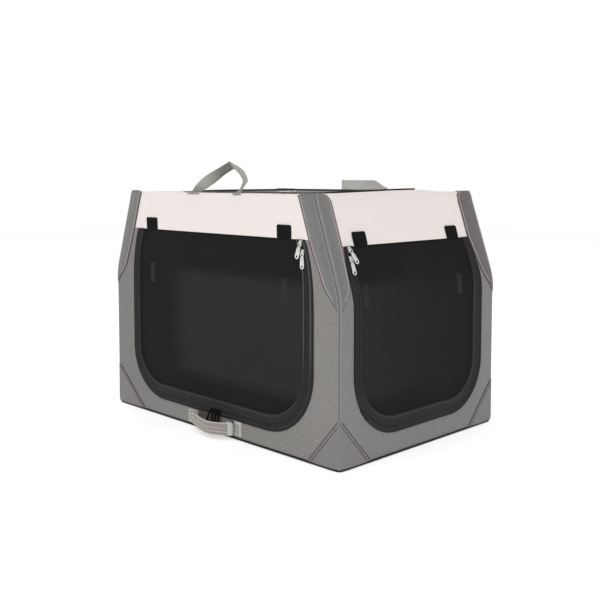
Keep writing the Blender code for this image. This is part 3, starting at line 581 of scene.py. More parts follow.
def piped(name, colour, groove):
    """Corner piping: light cloth with a dark line painted down the seam in its middle, painted
    shade in the seam's groove.
    """
    material, tree, shader = shader_of(name, 0.8, sheen=0.2, specular=0.25)
    u, v, _ = cloth_ways(tree, "map")
    yarns = ridges(tree, v, 0.0014)
    shade = sums(tree, "MULTIPLY_ADD", yarns, 0.10, 0.5)
    cloth = between(tree, shade, [c * 0.7 for c in colour], [c * 1.3 for c in colour])
    off = sums(tree, "ABSOLUTE", sums(tree, "SUBTRACT", u, WELT_MIDDLE))
    relief = sums(tree, "MULTIPLY", yarns, 0.00003)
    coloured(tree, shader, sums(tree, "LESS_THAN", off, 0.0007), cloth, groove, relief)
    return material


WELT = [(-0.0052, -0.0002), (-0.0042, 0.0006), (-0.0030, 0.0012), (-0.0018, 0.0014),
        (-0.0008, 0.0010), (0.0, 0.0001), (0.0008, 0.0009), (0.0018, 0.0012), (0.0030, 0.0009),
        (0.0042, 0.0003), (0.0050, -0.0002), (0.0, -0.0010)]
WELT_MIDDLE = sum(math.dist(a, b) for a, b in zip(WELT[:5], WELT[1:6]))

CREAM, WEBBING, NET_BLACK = (0.83, 0.775, 0.745), (0.31, 0.325, 0.285), (0.0165, 0.0163, 0.0163)
SEWN = {"laid_by": "map", "slack": 0.0}
RIBBED = {"kind": "ribs", **SEWN}
TWILL = {"kind": "twill", "laid_by": "map"}
LINE = {**RIBBED, "contrast": 0.2, "sheen": 0.1, "specular": 0.15}
EDGE = {**RIBBED, "sheen": 0.1, "yarn": 0.00006, "specular": 0.2}
OFF_WHITE = {"contrast": 0.03, "cloud": 0.06, "fleck": 0.10, "sheen": 0.1}
NET = {"kind": "net", "contrast": 0.42, "fleck": 0.35, "sheen": 0.0, "yarn": 0.00012,
       "specular": 0.12, "span": 0.7}

# Where the nets catch the light: away from the front net's left, towards the right net's left
NET_LIT = [("u", -0.44, -0.33), ("u", 0.62, 0.0), ("v", 0.375, 0.335), ("v", 0.10, 0.145)]

# The cloths of each slot: colour, pitch of the weave, and what sets them apart
CLOTHS = {
    "grey_fabric": {
        # Grey cloth of the front and back walls, with painted shade: darker towards the front
        # wall's left end
        "grey_cloth": ((0.232, 0.224, 0.216), 0.0011, {
            "fleck": 0.5, "ribs": (0.0050, -0.40, 0.17),
            "lit": (0.36, 0.14, [("u", -0.62, -0.35)])}),
        # Grey cloth of the end walls: its ribs run their own way, and its colour is a darker copy
        # of the front's, painted shade
        "grey_cloth_across": ((0.212, 0.210, 0.208), 0.0011, {
            "fleck": 0.5, "ribs": (0.0050, 0.25, 0.08)}),
        "corner_cloth": ((0.205, 0.200, 0.196), 0.0009, {
            **TWILL, "contrast": 0.05, "cloud": 0.14, "slack": 0.001}),
    },
    "dark_fabric": {
        "flap_cloth": ((0.172, 0.170, 0.170), 0.0009, {
            **TWILL, "contrast": 0.06, "cloud": 0.22, "sheen": 0.3, "slack": 0.002}),
        # A darker, plum copy of the flap cloth for the back corners: painted shade
        "far_flap_cloth": ((0.140, 0.122, 0.127), 0.0009, {
            **TWILL, "contrast": 0.06, "cloud": 0.22, "sheen": 0.2, "slack": 0.002}),
        # Light cords along the flaps' hems: painted highlight where the hems' folds catch the light
        "hem_line": ((0.400, 0.375, 0.375), 0.0012, LINE),
        "plum_seam": ((0.100, 0.066, 0.080), 0.0012, {**LINE, "sheen": 0.0, "specular": 0.1}),
        # Dark plum cloth for the patch behind the carry grip: painted shade
        "grip_shade_cloth": ((0.120, 0.100, 0.106), 0.0011, {
            **SEWN, "contrast": 0.1, "sheen": 0.1, "specular": 0.15}),
        "plum_thread": ((0.360, 0.300, 0.310), 0.0008, {**TWILL, "slack": 0.0}),
    },
    "white_fabric": {
        "cream_cloth": (CREAM, 0.0010, OFF_WHITE),
        "cream_roof": (CREAM, 0.0010, {**OFF_WHITE, "laid_by": "flat"}),
    },
    "black_mesh": {
        "black_net": (NET_BLACK, 0.0070, {**NET, "lit": (0.217, 0.58, NET_LIT)}),
        "black_net_flat": (NET_BLACK, 0.0070, {**NET, "laid_by": "flat", "sheen": 0.5}),
        "net_over_patch": ((0.0262, 0.0258, 0.0262), 0.0070, {
            **NET, "contrast": 0.60, "fleck": 0.60}),
    },
    "black_fabric": {
        # The hatch's tapes: black, with painted light, lighter and plum along the hatch's front
        # edge
        "hatch_tape": ((0.068, 0.058, 0.062), 0.0016, {
            **EDGE, "laid_by": "flat", "contrast": 0.1, "specular": 0.15, "span": 0.85,
            "lit": (0.09, 0.85, [("v", -0.10, -0.165)])}),
        # The front door's beads: a lighter copy of the dull edge, with a painted highlight along
        # the top of the zip's right leg
        "tape_edge": ((0.055, 0.054, 0.056), 0.0016, {
            **EDGE, "contrast": 0.15, "span": 0.7, "lit": (0.16, 0.84, [("v", 0.30, 0.18)])}),
        "dull_tape_edge": ((0.027, 0.027, 0.028), 0.0016, {**EDGE, "contrast": 0.25}),
        "black_tape": ((0.0165, 0.0165, 0.0172), 0.0016, {
            **EDGE, "contrast": 0.25, "yarn": 0.00008, "specular": 0.15}),
        "black_cloth": ((0.018, 0.016, 0.017), 0.0011, {
            "laid_by": "flat", "contrast": 0.2, "sheen": 0.05, "specular": 0.12}),
        "hook_tape": ((0.007, 0.007, 0.008), 0.0012, {
            **SEWN, "contrast": 0.4, "yarn": 0.00008, "sheen": 0.0, "specular": 0.1}),
        "zip_coil": ((0.016, 0.016, 0.017), 0.0015, {
            **RIBBED, "contrast": 0.45, "yarn": 0.0001, "roughness": 0.5, "sheen": 0.0,
            "specular": 0.3}),
        "black_elastic": ((0.006, 0.005, 0.006), 0.0012, {
            **RIBBED, "contrast": 0.3, "specular": 0.1, "sheen": 0.0}),
    },
    "webbing": {
        "ribbed_webbing": (WEBBING, 0.0017, {
            **RIBBED, "contrast": 0.22, "yarn": 0.00016, "sheen": 0.25}),
        # The front strap's webbing, with painted shade: darker from partway up its left leg over
        # its top, lighter again down its right leg
        "strap_webbing": (WEBBING, 0.0017, {
            **RIBBED, "contrast": 0.16, "yarn": 0.00016, "sheen": 0.25, "span": 0.7,
            "lit": (0.62, -0.50, [("v", 0.045, 0.140), ("v", 0.172, 0.160)])}),
        "pale_webbing": ((0.53, 0.545, 0.505), 0.0017, {
            **RIBBED, "contrast": 0.16, "yarn": 0.00014, "sheen": 0.25}),
        "pad_cloth": ((0.42, 0.42, 0.40), 0.0014, {
            **RIBBED, "contrast": 0.16, "yarn": 0.0001, "sheen": 0.2}),
        "grip_cloth": ((0.29, 0.268, 0.25), 0.0010, {**SEWN, "contrast": 0.1, "sheen": 0.25}),
        # Light cords on the carry grip: thread of its two seams, and a painted highlight along its
        # top edge
        "grip_seam_and_highlight": ((0.58, 0.54, 0.50), 0.0012, LINE),
    },
    "board": {
        "mat_cloth": ((0.075, 0.075, 0.078), 0.0016, {
            "laid_by": "flat", "contrast": 0.2, "slack": 0.004}),
    },
}

# The hard finish of each slot: its name, colour, roughness, metal, and what sets it apart
METALS = {
    "steel_tube": ("powder_coat", (0.26, 0.26, 0.27), 0.45, 0.4,
                   {"grain": 900.0, "depth": 0.00002}),
    "black_plastic": ("moulded_plastic", (0.022, 0.022, 0.024), 0.5, 0.0, {"depth": 0.00006}),
    "pin_steel": ("rivet_steel", (0.50, 0.50, 0.50), 0.35, 1.0, {}),
    "zip_metal": ("zip_plate", (0.97, 0.94, 0.88), 0.25, 0.55, {"grain": 1500.0, "span": 0.08}),
}
PIPING = piped("grey_piping", (0.225, 0.222, 0.220), (0.030, 0.027, 0.030))
FINISH = {"grey_piping": ("grey_fabric", PIPING)}
for slot, cloths in CLOTHS.items():
    for name, (colour, pitch, apart) in cloths.items():
        FINISH[name] = slot, woven(name, colour, pitch, **apart)
for slot, (name, colour, roughness, metallic, apart) in METALS.items():
    FINISH[name] = slot, hard(name, colour, roughness, metallic, **apart)

SOFT_WALLS = ("shell", "front_leaf", "right_leaf", "front_zip_a", "front_zip_b", "front_tab_a",
              "front_tab_b", "right_zip_a", "right_zip_b", "right_tab_a", "right_tab_b")


def finished(piece, finish):
    """Gives a piece its one material. Says which slot that belongs to."""
    slot, material = FINISH[finish]
    piece.data.materials.clear()
    piece.data.materials.append(material)
    return slot


def fit(piece, finish, body="shell", stands_for=None, folds=True):
    """Dresses a piece and hangs it on its body. Pieces hung on the walls' bodies get their own copy
    of their mesh.
    """
    slot = finished(piece, finish)
    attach(piece, body)
    if folds and body in SOFT_WALLS:
        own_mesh(piece)
    if stands_for:
        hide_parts(stands_for)
    return piece


def half_surface(piece):
    return sum(p.area for p in piece.data.polygons) / 2


def sheet(piece, flat, area=None):
    """Works out a sheet of cloth's area, at most that of a rectangle of this flat size, and does
    nothing more with it. area is the piece's own from before it swelled."""
    area = min(area or half_surface(piece), flat[0] * flat[1])


# Walls, bands and roof, cut from the frame's own plates


def cut_from(node, name, cuts=(), bevel=0.0005):
    """A copy of a plate with its doubles merged, cut across into cells that can swell."""
    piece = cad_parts[node].copy()
    piece.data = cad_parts[node].data.copy()
    piece.parent = None
    for key in [k for k in piece.keys() if k.startswith("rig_")]:
        del piece[key]
    bpy.context.scene.collection.objects.link(piece)
    work_on(called(piece, name))
    bpy.ops.mesh.remove_doubles(threshold=1e-5)
    bpy.ops.mesh.dissolve_limited(angle_limit=math.radians(0.3))
    for way, places in cuts:
        for place in places:
            bpy.ops.mesh.select_all(action="SELECT")
            bpy.ops.mesh.bisect(plane_co=way * place, plane_no=way)
    leave()
    return use_bevel(piece, bevel, 50) if bevel else piece


def swollen(piece, face):
    """Pushes a plate's corners out by the swell of its cloth, and rounds it at the roof's ends."""
    for corner in piece.data.vertices:
        x, y, z = corner.co
        if face == "roof":
            corner.co.z += swell(face, x, y)
        elif face in ("front", "back"):
            side = -1 if face == "front" else 1
            corner.co.y += side * swell(face, -side * x, z)
        else:
            side = 1 if face == "right" else -1
            out = swell(face, side * y, along(min(z, HEIGHT)))
            corner.co += Vector((side * math.cos(LEAN), 0, math.sin(LEAN))) * out
        x, z, _ = softened(abs(corner.co.x), corner.co.z, 0.0)
        corner.co.x, corner.co.z = math.copysign(x, corner.co.x), z
    return piece


# For each pair of walls: the way along them, half their length, their cloth, the flat sizes of the
# wall and of the band above it, and where the band is cut across and up
WALLS = {
    ("front", "back"): (
        X, LENGTH / 2, "grey_cloth", (0.755, 0.44), (0.681, 0.0875),
        [*steps(-0.34, 0.34, 0.02), -0.306, 0.306], [*steps(FRONT_BAND, 0.53, 0.011), 0.5265]),
    ("right", "left"): (
        Y, DEPTH / 2, "grey_cloth_across", (0.51, 0.432), (0.510, 0.1057),
        steps(-0.255, 0.255, 0.02), [*steps(END_BAND, 0.53, 0.012), 0.524, 0.5265, 0.5285]),
}


def make_walls():
    for faces, (way, half, finish, flat, band_flat, across, up) in WALLS.items():
        ends = [side * (half - d) for side in (-1, 1) for d in (0.005, 0.010, 0.016, 0.022)]
        for face in faces:
            cuts = [(way, ends), (Z, (0.004, 0.0055, 0.008))]
            wall = foot_softened(cut_from(f"{face}_panel", f"{face}_wall", cuts))
            fit(smooth(wall), finish, stands_for=f"{face}_panel")
            sheet(wall, flat)
            band = cut_from(f"{face}_yoke", f"{face}_band", [(way, across), (Z, up)])
            area = half_surface(band)
            fit(smooth(swollen(band, face)), "cream_cloth", stands_for=f"{face}_yoke")
            sheet(band, band_flat, area)


def make_roof():
    cuts = [(X, (*steps(-0.308, 0.308, 0.02), -0.306, -0.303, 0.303, 0.306)),
            (Y, steps(-0.2547, 0.2547, 0.0145))]
    roof = cut_from("roof_panel", "roof_cloth", cuts, bevel=0)
    area = half_surface(roof)
    fit(smooth(swollen(roof, "roof")), "cream_roof", "top", stands_for="roof_panel")
    sheet(roof, (0.616, 0.509), area)
    seams = []
    for side in (-1, 1):
        line = [on_face("roof", u, side * (DEPTH / 2 - 0.0008), -0.0005)
                for u in spread(0.002 - ROOF_HALF, ROOF_HALF - 0.002, 40)]
        seams.append(rope("seam", line, 0.0013))
    fit(joined("roof_edge_seams", seams), "cream_roof", "top")
    lap = [(0.0, 0.0), (0.0, 0.0006), (-0.0005, 0.0010), (-0.0060, 0.0007), (-0.0105, 0.0003),
           (-0.0105, -0.0004)]
    path = [(u, along(HEIGHT) - 0.0100) for u in spread(0.214, -0.214, 30)]
    for face in ("right", "left"):
        fit(laid(f"{face}_roof_lap", face, path, lap), "cream_cloth")


def make_floor():
    cover = cut_from("floor_cover", "floor_cloth")
    fit(smooth(cover), "black_cloth", stands_for="floor_cover", folds=False)
    radius, bend = 0.0025, 0.02
    ways = [X, -Y, -X, Y]
    path = []
    corners = round_corners((-LENGTH / 2, FRONT_Y), (LENGTH / 2, -FRONT_Y), radius, 4)
    for corner, into, leaving in zip(corners, ways, ways[1:] + ways[:1]):
        corner = [Vector((*place, 0)) for place in corner]
        path += [corner[0] - into * bend * share for share in (1.0, 0.6, 0.3)]
        path += corner
        path += [corner[-1] + leaving * bend * share for share in (0.3, 0.6, 1.0)]
    section = ((-0.0012, 0.0030), (-0.0012, 0.0004), (0.0010, 0.0004), (0.0016, 0.0012),
               (0.0016, 0.0038), (0.0008, 0.0050), (-0.0002, 0.0050), (-0.0002, 0.0030))
    rings = []
    for point in path:
        sides = [math.copysign(1, place) if abs(place) > half - radius - 0.0001 else 0
                 for place, half in ((point.x, LENGTH / 2), (point.y, DEPTH / 2))]
        way = Vector((*sides, 0)).normalized()
        rings.append([point + way * out + Z * z for out, z in section])
    binding = foot_softened(rolled("foot_binding", rings, loop=True))
    fit(smooth(binding), "black_tape", folds=False)
    board = cut_from("floor_board", "floor_mat", bevel=0.003)
    fit(smooth(board), "mat_cloth", stands_for="floor_board", folds=False)


# Doors and windows: net, tapes and zips. A section lists (across, out), and is laid along the line

INNER_TAPE = [(0.0010, -0.0016), (0.0010, 0.0003), (0.0022, 0.0012), (0.0036, 0.0014),
              (0.0050, 0.0006), (0.0066, 0.0010), (0.0085, 0.0012), (0.0110, 0.0012),
              (0.0116, 0.0004), (0.0116, -0.0016)]
OUTER_TAPE = [(-0.0010, 0.0), (-0.0132, 0.0), (-0.0132, 0.0010), (-0.0124, 0.0019),
              (-0.0108, 0.0019), (-0.0096, 0.0010), (-0.0080, 0.0006), (-0.0062, 0.0012),
              (-0.0040, 0.0014), (-0.0024, 0.0010), (-0.0010, 0.0003)]
HATCH_TAPE = [(d, o + 0.0018 if o else 0.0) for d, o in OUTER_TAPE]
HEAD_TAPE = [(-0.0002, -0.0016), (-0.0002, 0.0001), (-0.0008, 0.0004), (-0.0024, 0.0004),
             (-0.0030, 0.0), (-0.0030, -0.0016)]
INNER_BEAD = [(0.0086, 0.0012), (0.0092, 0.0024), (0.0100, 0.0028), (0.0108, 0.0022),
              (0.0110, 0.0010)]
OUTER_BEAD = [(-0.0060, 0.0008), (-0.0064, 0.0021), (-0.0073, 0.0026), (-0.0082, 0.0021),
              (-0.0086, 0.0008)]
SEAM_CORD = [(-0.0014, -0.0014), (-0.0014, 0.0008), (0.0, 0.0014), (0.0014, 0.0008),
             (0.0014, -0.0014)]
INNER_COIL = [(0.0001, -0.0008), (0.0003, 0.0008), (0.0008, 0.0013), (0.0014, 0.0013),
              (0.0019, 0.0008), (0.0020, -0.0008)]
OUTER_COIL = [(-0.0001, 0.0), (-0.0020, 0.0), (-0.0019, 0.0008), (-0.0014, 0.0013),
              (-0.0008, 0.0013), (-0.0003, 0.0008)]

# The openings: line, lowest height of the net's middle, and how the inner and outer tapes widen
OPENINGS = {
    "front": (FRONT_LINE, 0.175, (0.0, 0.9, 0.0), (0.30, 0.05, 0.25)),
    "right": (RIGHT_LINE, 0.170, (0.9, 0.9, 0.0), (0.0, 0.05, -0.40)),
    "back": (FRONT_LINE, 0.175, (0.0, 0.9, 0.0), (0.30, 0.05, 0.25)),
    "left": (LEFT_LINE, 0.170, (0.0, 0.9, 0.9), (-0.40, 0.05, 0.0)),
}


def net_field(name, face, path, centre_of, top=None, loop=False):
    """The net inside a line: rows from the line to the middle, slack away from its edges."""
    edge = beside(path, 0.004, loop)
    if not loop:
        edge[0], edge[-1] = (edge[0][0], path[0][1]), (edge[-1][0], path[-1][1])
    rows = []
    for u, s in edge:
        cu, cs = centre_of(u, s)
        row = []
        for share in spread(0.0, 1.0, 18):
            pu, ps = mix(u, cu, share), mix(s, cs, share)
            slack = eased(share * 2.2) * (1 if top is None else eased((top - ps) / 0.05))
            wave = noise.noise(Vector((pu * 8, ps * 8, SEEDS[face] + 3)))
            row.append(on_face(face, pu, ps, -0.0009 + slack * (0.0016 * wave - 0.0008)))
        rows.append(row)
    if loop:
        rows.append(rows[0])
    piece = sewn(sheet_of(name, rows), cap=False)
    return smooth(use_modifier(piece, "SOLIDIFY", thickness=0.0006, offset=0.0), 50)


def make_opening(face, path, low, inner, outer):
    """A door or window: its net and inner tape on the leaf, its outer tape on the wall. inner and
    outer say how the two tapes widen."""
    zipped = face in ("front", "right")
    name = f"{face}_door" if zipped else f"{face}_window"
    leaf = f"{face}_leaf" if zipped else "shell"
    (right, top), (left, _) = path[0], path[-1]
    middle = (right + left) / 2
    field = net_field(f"{name}_net", face, path, lambda u, s: (middle, max(s, low)), top)
    fit(field, "black_net", leaf, stands_for=name)
    sheet(field, (round(right - left + 0.02, 4), round(top - 0.05, 4)))
    across = [(u, top) for u in spread(right - 0.002, left + 0.002, 20)]
    # The front door's beads take the copy with the painted highlight
    edge = "tape_edge" if face == "front" else "dull_tape_edge"
    parts = [("inner_tape", path, INNER_TAPE, inner, "black_tape", leaf),
             ("outer_tape", path, OUTER_TAPE, outer, "black_tape", "shell"),
             ("head_tape", across, HEAD_TAPE, EVEN, "hook_tape", leaf),
             ("bead", path, INNER_BEAD, inner, edge, leaf),
             ("outer_bead", path, OUTER_BEAD, outer, edge, "shell")]
    if zipped:
        parts += [("leaf_coil", path, INNER_COIL, EVEN, "zip_coil", leaf),
                  ("wall_coil", path, OUTER_COIL, EVEN, "zip_coil", "shell")]
    else:
        parts.append(("seam_cord", path, SEAM_CORD, EVEN, "black_tape", "shell"))
    for part, line, section, wider, finish, body in parts:
        fit(laid(f"{name}_{part}", face, line, section, wider=wider), finish, body)


def make_hatch():
    half = 0.03
    field = net_field("hatch_net", "roof", HATCH_LINE,
                      lambda u, s: (max(-half, min(half, u)), 0.0), loop=True)
    fit(field, "black_net_flat", "roof_leaf", stands_for="roof_hatch")
    sheet(field, (0.42, 0.36))
    for part, section, finish, body in (("inner_tape", INNER_TAPE, "hatch_tape", "roof_leaf"),
                                        ("outer_tape", HATCH_TAPE, "hatch_tape", "top"),
                                        ("leaf_coil", INNER_COIL, "zip_coil", "roof_leaf"),
                                        ("roof_coil", OUTER_COIL, "zip_coil", "top")):
        fit(laid(f"hatch_{part}", "roof", HATCH_LINE, section, loop=True), finish, body)


def soft_tab(name, face, low_u, high_u, low_s, high_s, out, thick, corner=0.003):
    """A flat tab of tape with round corners, sewn to the cloth."""
    path = sum(round_corners((low_u, low_s), (high_u, high_s), corner, 4), [])
    middle_u, middle_s = (low_u + high_u) / 2, (low_s + high_s) / 2
    rows = []
    for share, lift in ((0.0, 0.0), (0.0, thick * 0.6), (0.06, thick), (0.5, thick), (0.97, thick)):
        rows.append([on_face(face, mix(u, middle_u, share), mix(s, middle_s, share), out + lift)
                     for u, s in [*path, path[0]]])
    return smooth(sewn(sheet_of(name, rows)), 40)


def make_tabs():
    hook = ("hook_tab", "hook_tape", 0.0006, 0.0018, 0.004)
    patch = ("inner_patch", "net_over_patch", -0.0022, 0.0020, 0.003)
    for face, body, (kind, finish, out, thick, corner), spans, low, high in (
        ("front", "shell", hook, ((-0.2485, -0.2060), (0.205, 0.2460)),
         FRONT_BAND - 0.0016, 0.4700),
        ("right", "shell", hook, ((-0.183, -0.143), (0.123, 0.165)),
         along(END_BAND) - 0.0014, along(0.4565)),
        ("front", "front_leaf", patch, ((-0.237, -0.219), (0.216, 0.234)), 0.317, 0.363),
        ("right", "right_leaf", patch, ((-0.189, -0.171), (0.123, 0.141)),
         along(0.310), along(0.355)),
    ):
        for way, (a, b) in zip("ab", spans):
            tab = soft_tab(f"{face}_{kind}_{way}", face, a, b, low, high, out, thick, corner)
            fit(tab, finish, body)


# Corners: flaps, lower patches, piping and stitches

CORNERS = [((x, y), f"{'front' if y < 0 else 'back'}_{'right' if x > 0 else 'left'}")
           for x in (1, -1) for y in (-1, 1)]
HEM = (0.0, 0.0006, 0.0014, 0.0030, 0.0042, 0.0052, 0.0062, 0.0075, 0.0100, 0.0140)


def flap_width(z, full, rounded_top=0.0):
    """A flap's reach from its corner: a quick shoulder above its point, then nearly straight."""
    total = 0.0
    over = max(0.0, z - HEIGHT + rounded_top)
    if over > 0:
        full -= 1.2 * (rounded_top - math.sqrt(max(0.0, rounded_top**2 - over**2)))
    for h in (z + shift for shift in (-0.010, -0.005, 0.0, 0.005, 0.010)):
        if h < 0.348:
            total += 0.001 + 0.033 * max(0.0, (h - 0.307) / 0.041)
        else:
            total += 0.034 + (full - 0.034) * min(1.0, (h - 0.348) / 0.082)
    return total / 5


def foot_widths(z, corner):
    """A lower patch's reach on the side and the end wall."""
    share = max(0.02, 1 - z / 0.1015)
    return (0.1155 if corner == "front_left" else 0.0885) * share, 0.0935 * share


def hem_places(full):
    """Places across one wing of a corner piece, from its edge in, close together along its hem."""
    scale = min(1.0, full * 0.6 / HEM[-1])
    inner = full - HEM[-1] * scale
    return [*(full - d * scale for d in HEM), *(inner * (1 - k / 6) for k in range(1, 6))]


def wrapped(name, ways, heights, widths, base, thick, puff, ridge=0.0):
    """A sheet folded round a corner. widths gives how far it reaches on the side and end wall."""
    rings = []
    for z in heights:
        side, end = widths(z)
        ring = []
        places = [(-reach, side) for reach in hem_places(side)] + [(0.0, end)]
        places += [(reach, end) for reach in reversed(hem_places(end))]
        for a, full in places:
            reach, edge = abs(a), full - abs(a)
            belly = math.sin(math.pi * reach / full) ** 2 * min(1.0, full / 0.03)
            out = base + thick * (0.35 + 0.65 * eased(edge / 0.0016)) + puff * belly
            out += ridge * max(0.0, 1 - reach / 0.004) - 0.0005 * hump(edge - 0.0052, 0.0010)
            ring.append(by_corner(ways, a, z, out, edge))
        ring += [by_corner(ways, a, z, base, full - abs(a)) for a, full in reversed(places[::3])]
        rings.append(ring)
    return smooth(rolled(name, rings), 50)


def turned(across, up, out):
    """The turn that lays a piece's own x, y and z along three ways."""
    return Matrix((across, up, out)).transposed().to_4x4()


def stitch_row(name, places, ways_out, pitch=0.0046, length=0.0034, radius=0.0008):
    """Even stitches along a line of places."""
    pick()
    bpy.ops.mesh.primitive_uv_sphere_add(segments=6, ring_count=4, radius=1)
    stitch = called(bpy.context.object, name)
    for corner in stitch.data.vertices:
        corner.co = Vector((corner.co.x * radius, corner.co.y * radius, corner.co.z * length / 2))
    lengths = runs(places)
    made = bmesh.new()
    reach, i = pitch / 2, 0
    while reach < lengths[-1]:
        while lengths[i + 1] < reach:
            i += 1
        share = (reach - lengths[i]) / (lengths[i + 1] - lengths[i])
        run = (places[i + 1] - places[i]).normalized()
        out = ways_out[i].lerp(ways_out[i + 1], share)
        out = (out - run * out.dot(run)).normalized()
        place = Matrix.Translation(places[i].lerp(places[i + 1], share))
        copy = stitch.data.copy()
        copy.transform(place @ turned(out.cross(run), out, run))
        made.from_mesh(copy)
        bpy.data.meshes.remove(copy)
        reach += pitch
    made.to_mesh(stitch.data)
    made.free()
    return smooth(stitch, 80)


def drawn_in(line, way, inset, least=0.001):
    """A line of (reach from the corner, height) on one wing, drawn in from the wing's edge."""
    return [(way * max(least, reach - inset), z) for reach, z in line]


def corner_stitches(ways, line, base):
    places, higher = ([by_corner(ways, a, z, base + lift) for a, z in line]
                      for lift in (0.0, 0.001))
    return stitch_row("row", places, [(b - a).normalized() for a, b in zip(places, higher)])


def corner_cord(ways, line, base, radius):
    reach = max(abs(a) for a, _ in line)
    places = [by_corner(ways, a, z, base, reach - abs(a)) for a, z in line]
    return rope("cord", places, radius, sides=6)


def make_corners():
    flap_heights = [0.300, 0.304, 0.308, *spread(0.312, 0.514, 30),
                    0.517, 0.520, 0.5225, 0.525, 0.527, 0.5285, 0.5293]
    for ways, corner in CORNERS:
        front = corner.startswith("front")
        wings = ((FLAP_LEFT if corner == "front_left" else FLAP_FRONT, 0.0),
                 (FLAP_END if front else FLAP_FAR, FLAP_ROUND))
        flap = wrapped(f"corner_flap_{corner}", ways, flap_heights,
                       lambda z: [flap_width(z, *wing) for wing in wings], 0.0003, 0.0014, 0.0016)
        # The back corners' flaps take the darker copy of the flap cloth, painted shade
        cloth = "flap_cloth" if front else "far_flap_cloth"
        fit(flap, cloth, stands_for=f"corner_patch_{corner}")
        sheet(flap, (round(wings[0][0] + wings[1][0], 4), FLAP_TALL))
        low = wrapped(f"foot_patch_{corner}", ways, spread(0.0040, 0.1010, 16),
                      lambda z: foot_widths(z, corner), 0.0002, 0.0009, 0.0003, ridge=0.0009)
        fit(foot_softened(low), "corner_cloth")
        sheet(low, (round(sum(foot_widths(0.0, corner)), 4), 0.1))
        rings = []
        for z in spread(0.082, 0.5288, 59):
            lift = 0.0002 + 0.0016 * eased((z - 0.300) / 0.010)
            rings.append([by_corner(ways, a, z, lift + out, 0.02) for a, out in WELT])
        fit(smooth(rolled(f"corner_piping_{corner}", rings), 50), "grey_piping")
        rows, edges, caps, hems = [], [], [], []
        for side, (full, top) in enumerate(wings):
            way = 1 if side else -1
            edge = [(flap_width(z, full, top), z) for z in spread(0.306, 0.5285, 60)]
            foot = [(foot_widths(z, corner)[side], z) for z in spread(0.0065, 0.097, 20)]
            head = [(reach, 0.5293) for reach in spread(0.0, flap_width(0.5292, full, top), 12)]
            for line, inset, base in ((edge, 0.0034, 0.0020), (edge, -0.0022, 0.0002),
                                      (foot, 0.0045, 0.0013)):
                rows.append(corner_stitches(ways, drawn_in(line, way, inset), base))
            for cords, line, base, radius in (
                (edges, drawn_in(edge, way, 0.0002), 0.0007, 0.0010 if side else 0.0013),
                (edges, drawn_in(foot, way, 0.0), 0.0005, 0.0011),
                (edges, drawn_in(foot, way, 0.0085), 0.0009, 0.0008),
                # The hem cord, coloured light: painted highlight along the hem's fold
                (hems, drawn_in(edge[6:], way, 0.0050, 0.0015), 0.0015, 0.0012),
                (caps, drawn_in(head, way, 0.0, 0.0), 0.0006, 0.0021),
            ):
                cords.append(corner_cord(ways, line, base, radius))
        fit(joined(f"corner_seams_{corner}", edges), "plum_seam")
        fit(joined(f"flap_cap_{corner}", caps), cloth)
        fit(joined(f"flap_hem_{corner}", hems), "hem_line")
        fit(joined(f"corner_stitches_{corner}", rows), "plum_thread")


# Handles

RIBBON = [(-0.5, -0.25), (-0.48, -0.5), (-0.25, -0.5), (0.0, -0.5), (0.25, -0.5), (0.48, -0.5),
          (0.5, -0.25), (0.5, 0.25), (0.48, 0.5), (0.25, 0.5), (0.0, 0.5), (-0.25, 0.5),
          (-0.48, 0.5), (-0.5, 0.25)]


def webbing_of(name, upper, lower, thick):
    """A strap of webbing between its two edges."""
    rings = []
    middles = next_to([high + low for high, low in zip(upper, lower)])
    for high, low, (ahead, behind) in zip(upper, lower, middles):
        up = (ahead - behind).normalized().cross(low - high).normalized()
        rings.append([high.lerp(low, c + 0.5) + up * d * thick for c, d in RIBBON])
    return smooth(rolled(name, rings), 50)


# The front strap's edges from foot to foot: it twists as it rises and folds over at its top
STRAP_UPPER = [(-0.0945, 0.0000, 0.5306), (-0.0860, 0.0000, 0.5410), (-0.0738, -0.0010, 0.5496),
               (-0.0518, -0.0010, 0.5632), (-0.0278, -0.0030, 0.5726), (-0.0035, -0.0055, 0.5804),
               (0.0239, -0.0075, 0.5895), (0.0404, -0.0087, 0.5950), (0.0510, -0.0104, 0.5975),
               (0.0630, -0.0096, 0.5923), (0.0777, -0.0079, 0.5864), (0.0930, -0.0057, 0.5761),
               (0.1023, -0.0047, 0.5595), (0.0985, -0.0050, 0.5518), (0.0894, -0.0050, 0.5428),
               (0.0775, -0.0024, 0.5308)]
STRAP_LOWER = [(-0.0665, 0.0000, 0.5304), (-0.0590, 0.0000, 0.5318), (-0.0512, 0.0010, 0.5365),
               (-0.0382, 0.0010, 0.5410), (-0.0226, 0.0030, 0.5490), (-0.0056, 0.0055, 0.5585),
               (0.0130, 0.0075, 0.5700), (0.0296, 0.0087, 0.5775), (0.0415, 0.0104, 0.5830),
               (0.0485, 0.0096, 0.5800), (0.0600, 0.0079, 0.5735), (0.0715, 0.0057, 0.5646),
               (0.0772, 0.0047, 0.5561), (0.0745, 0.0050, 0.5499), (0.0676, 0.0050, 0.5406),
               (0.0555, 0.0024, 0.5308)]


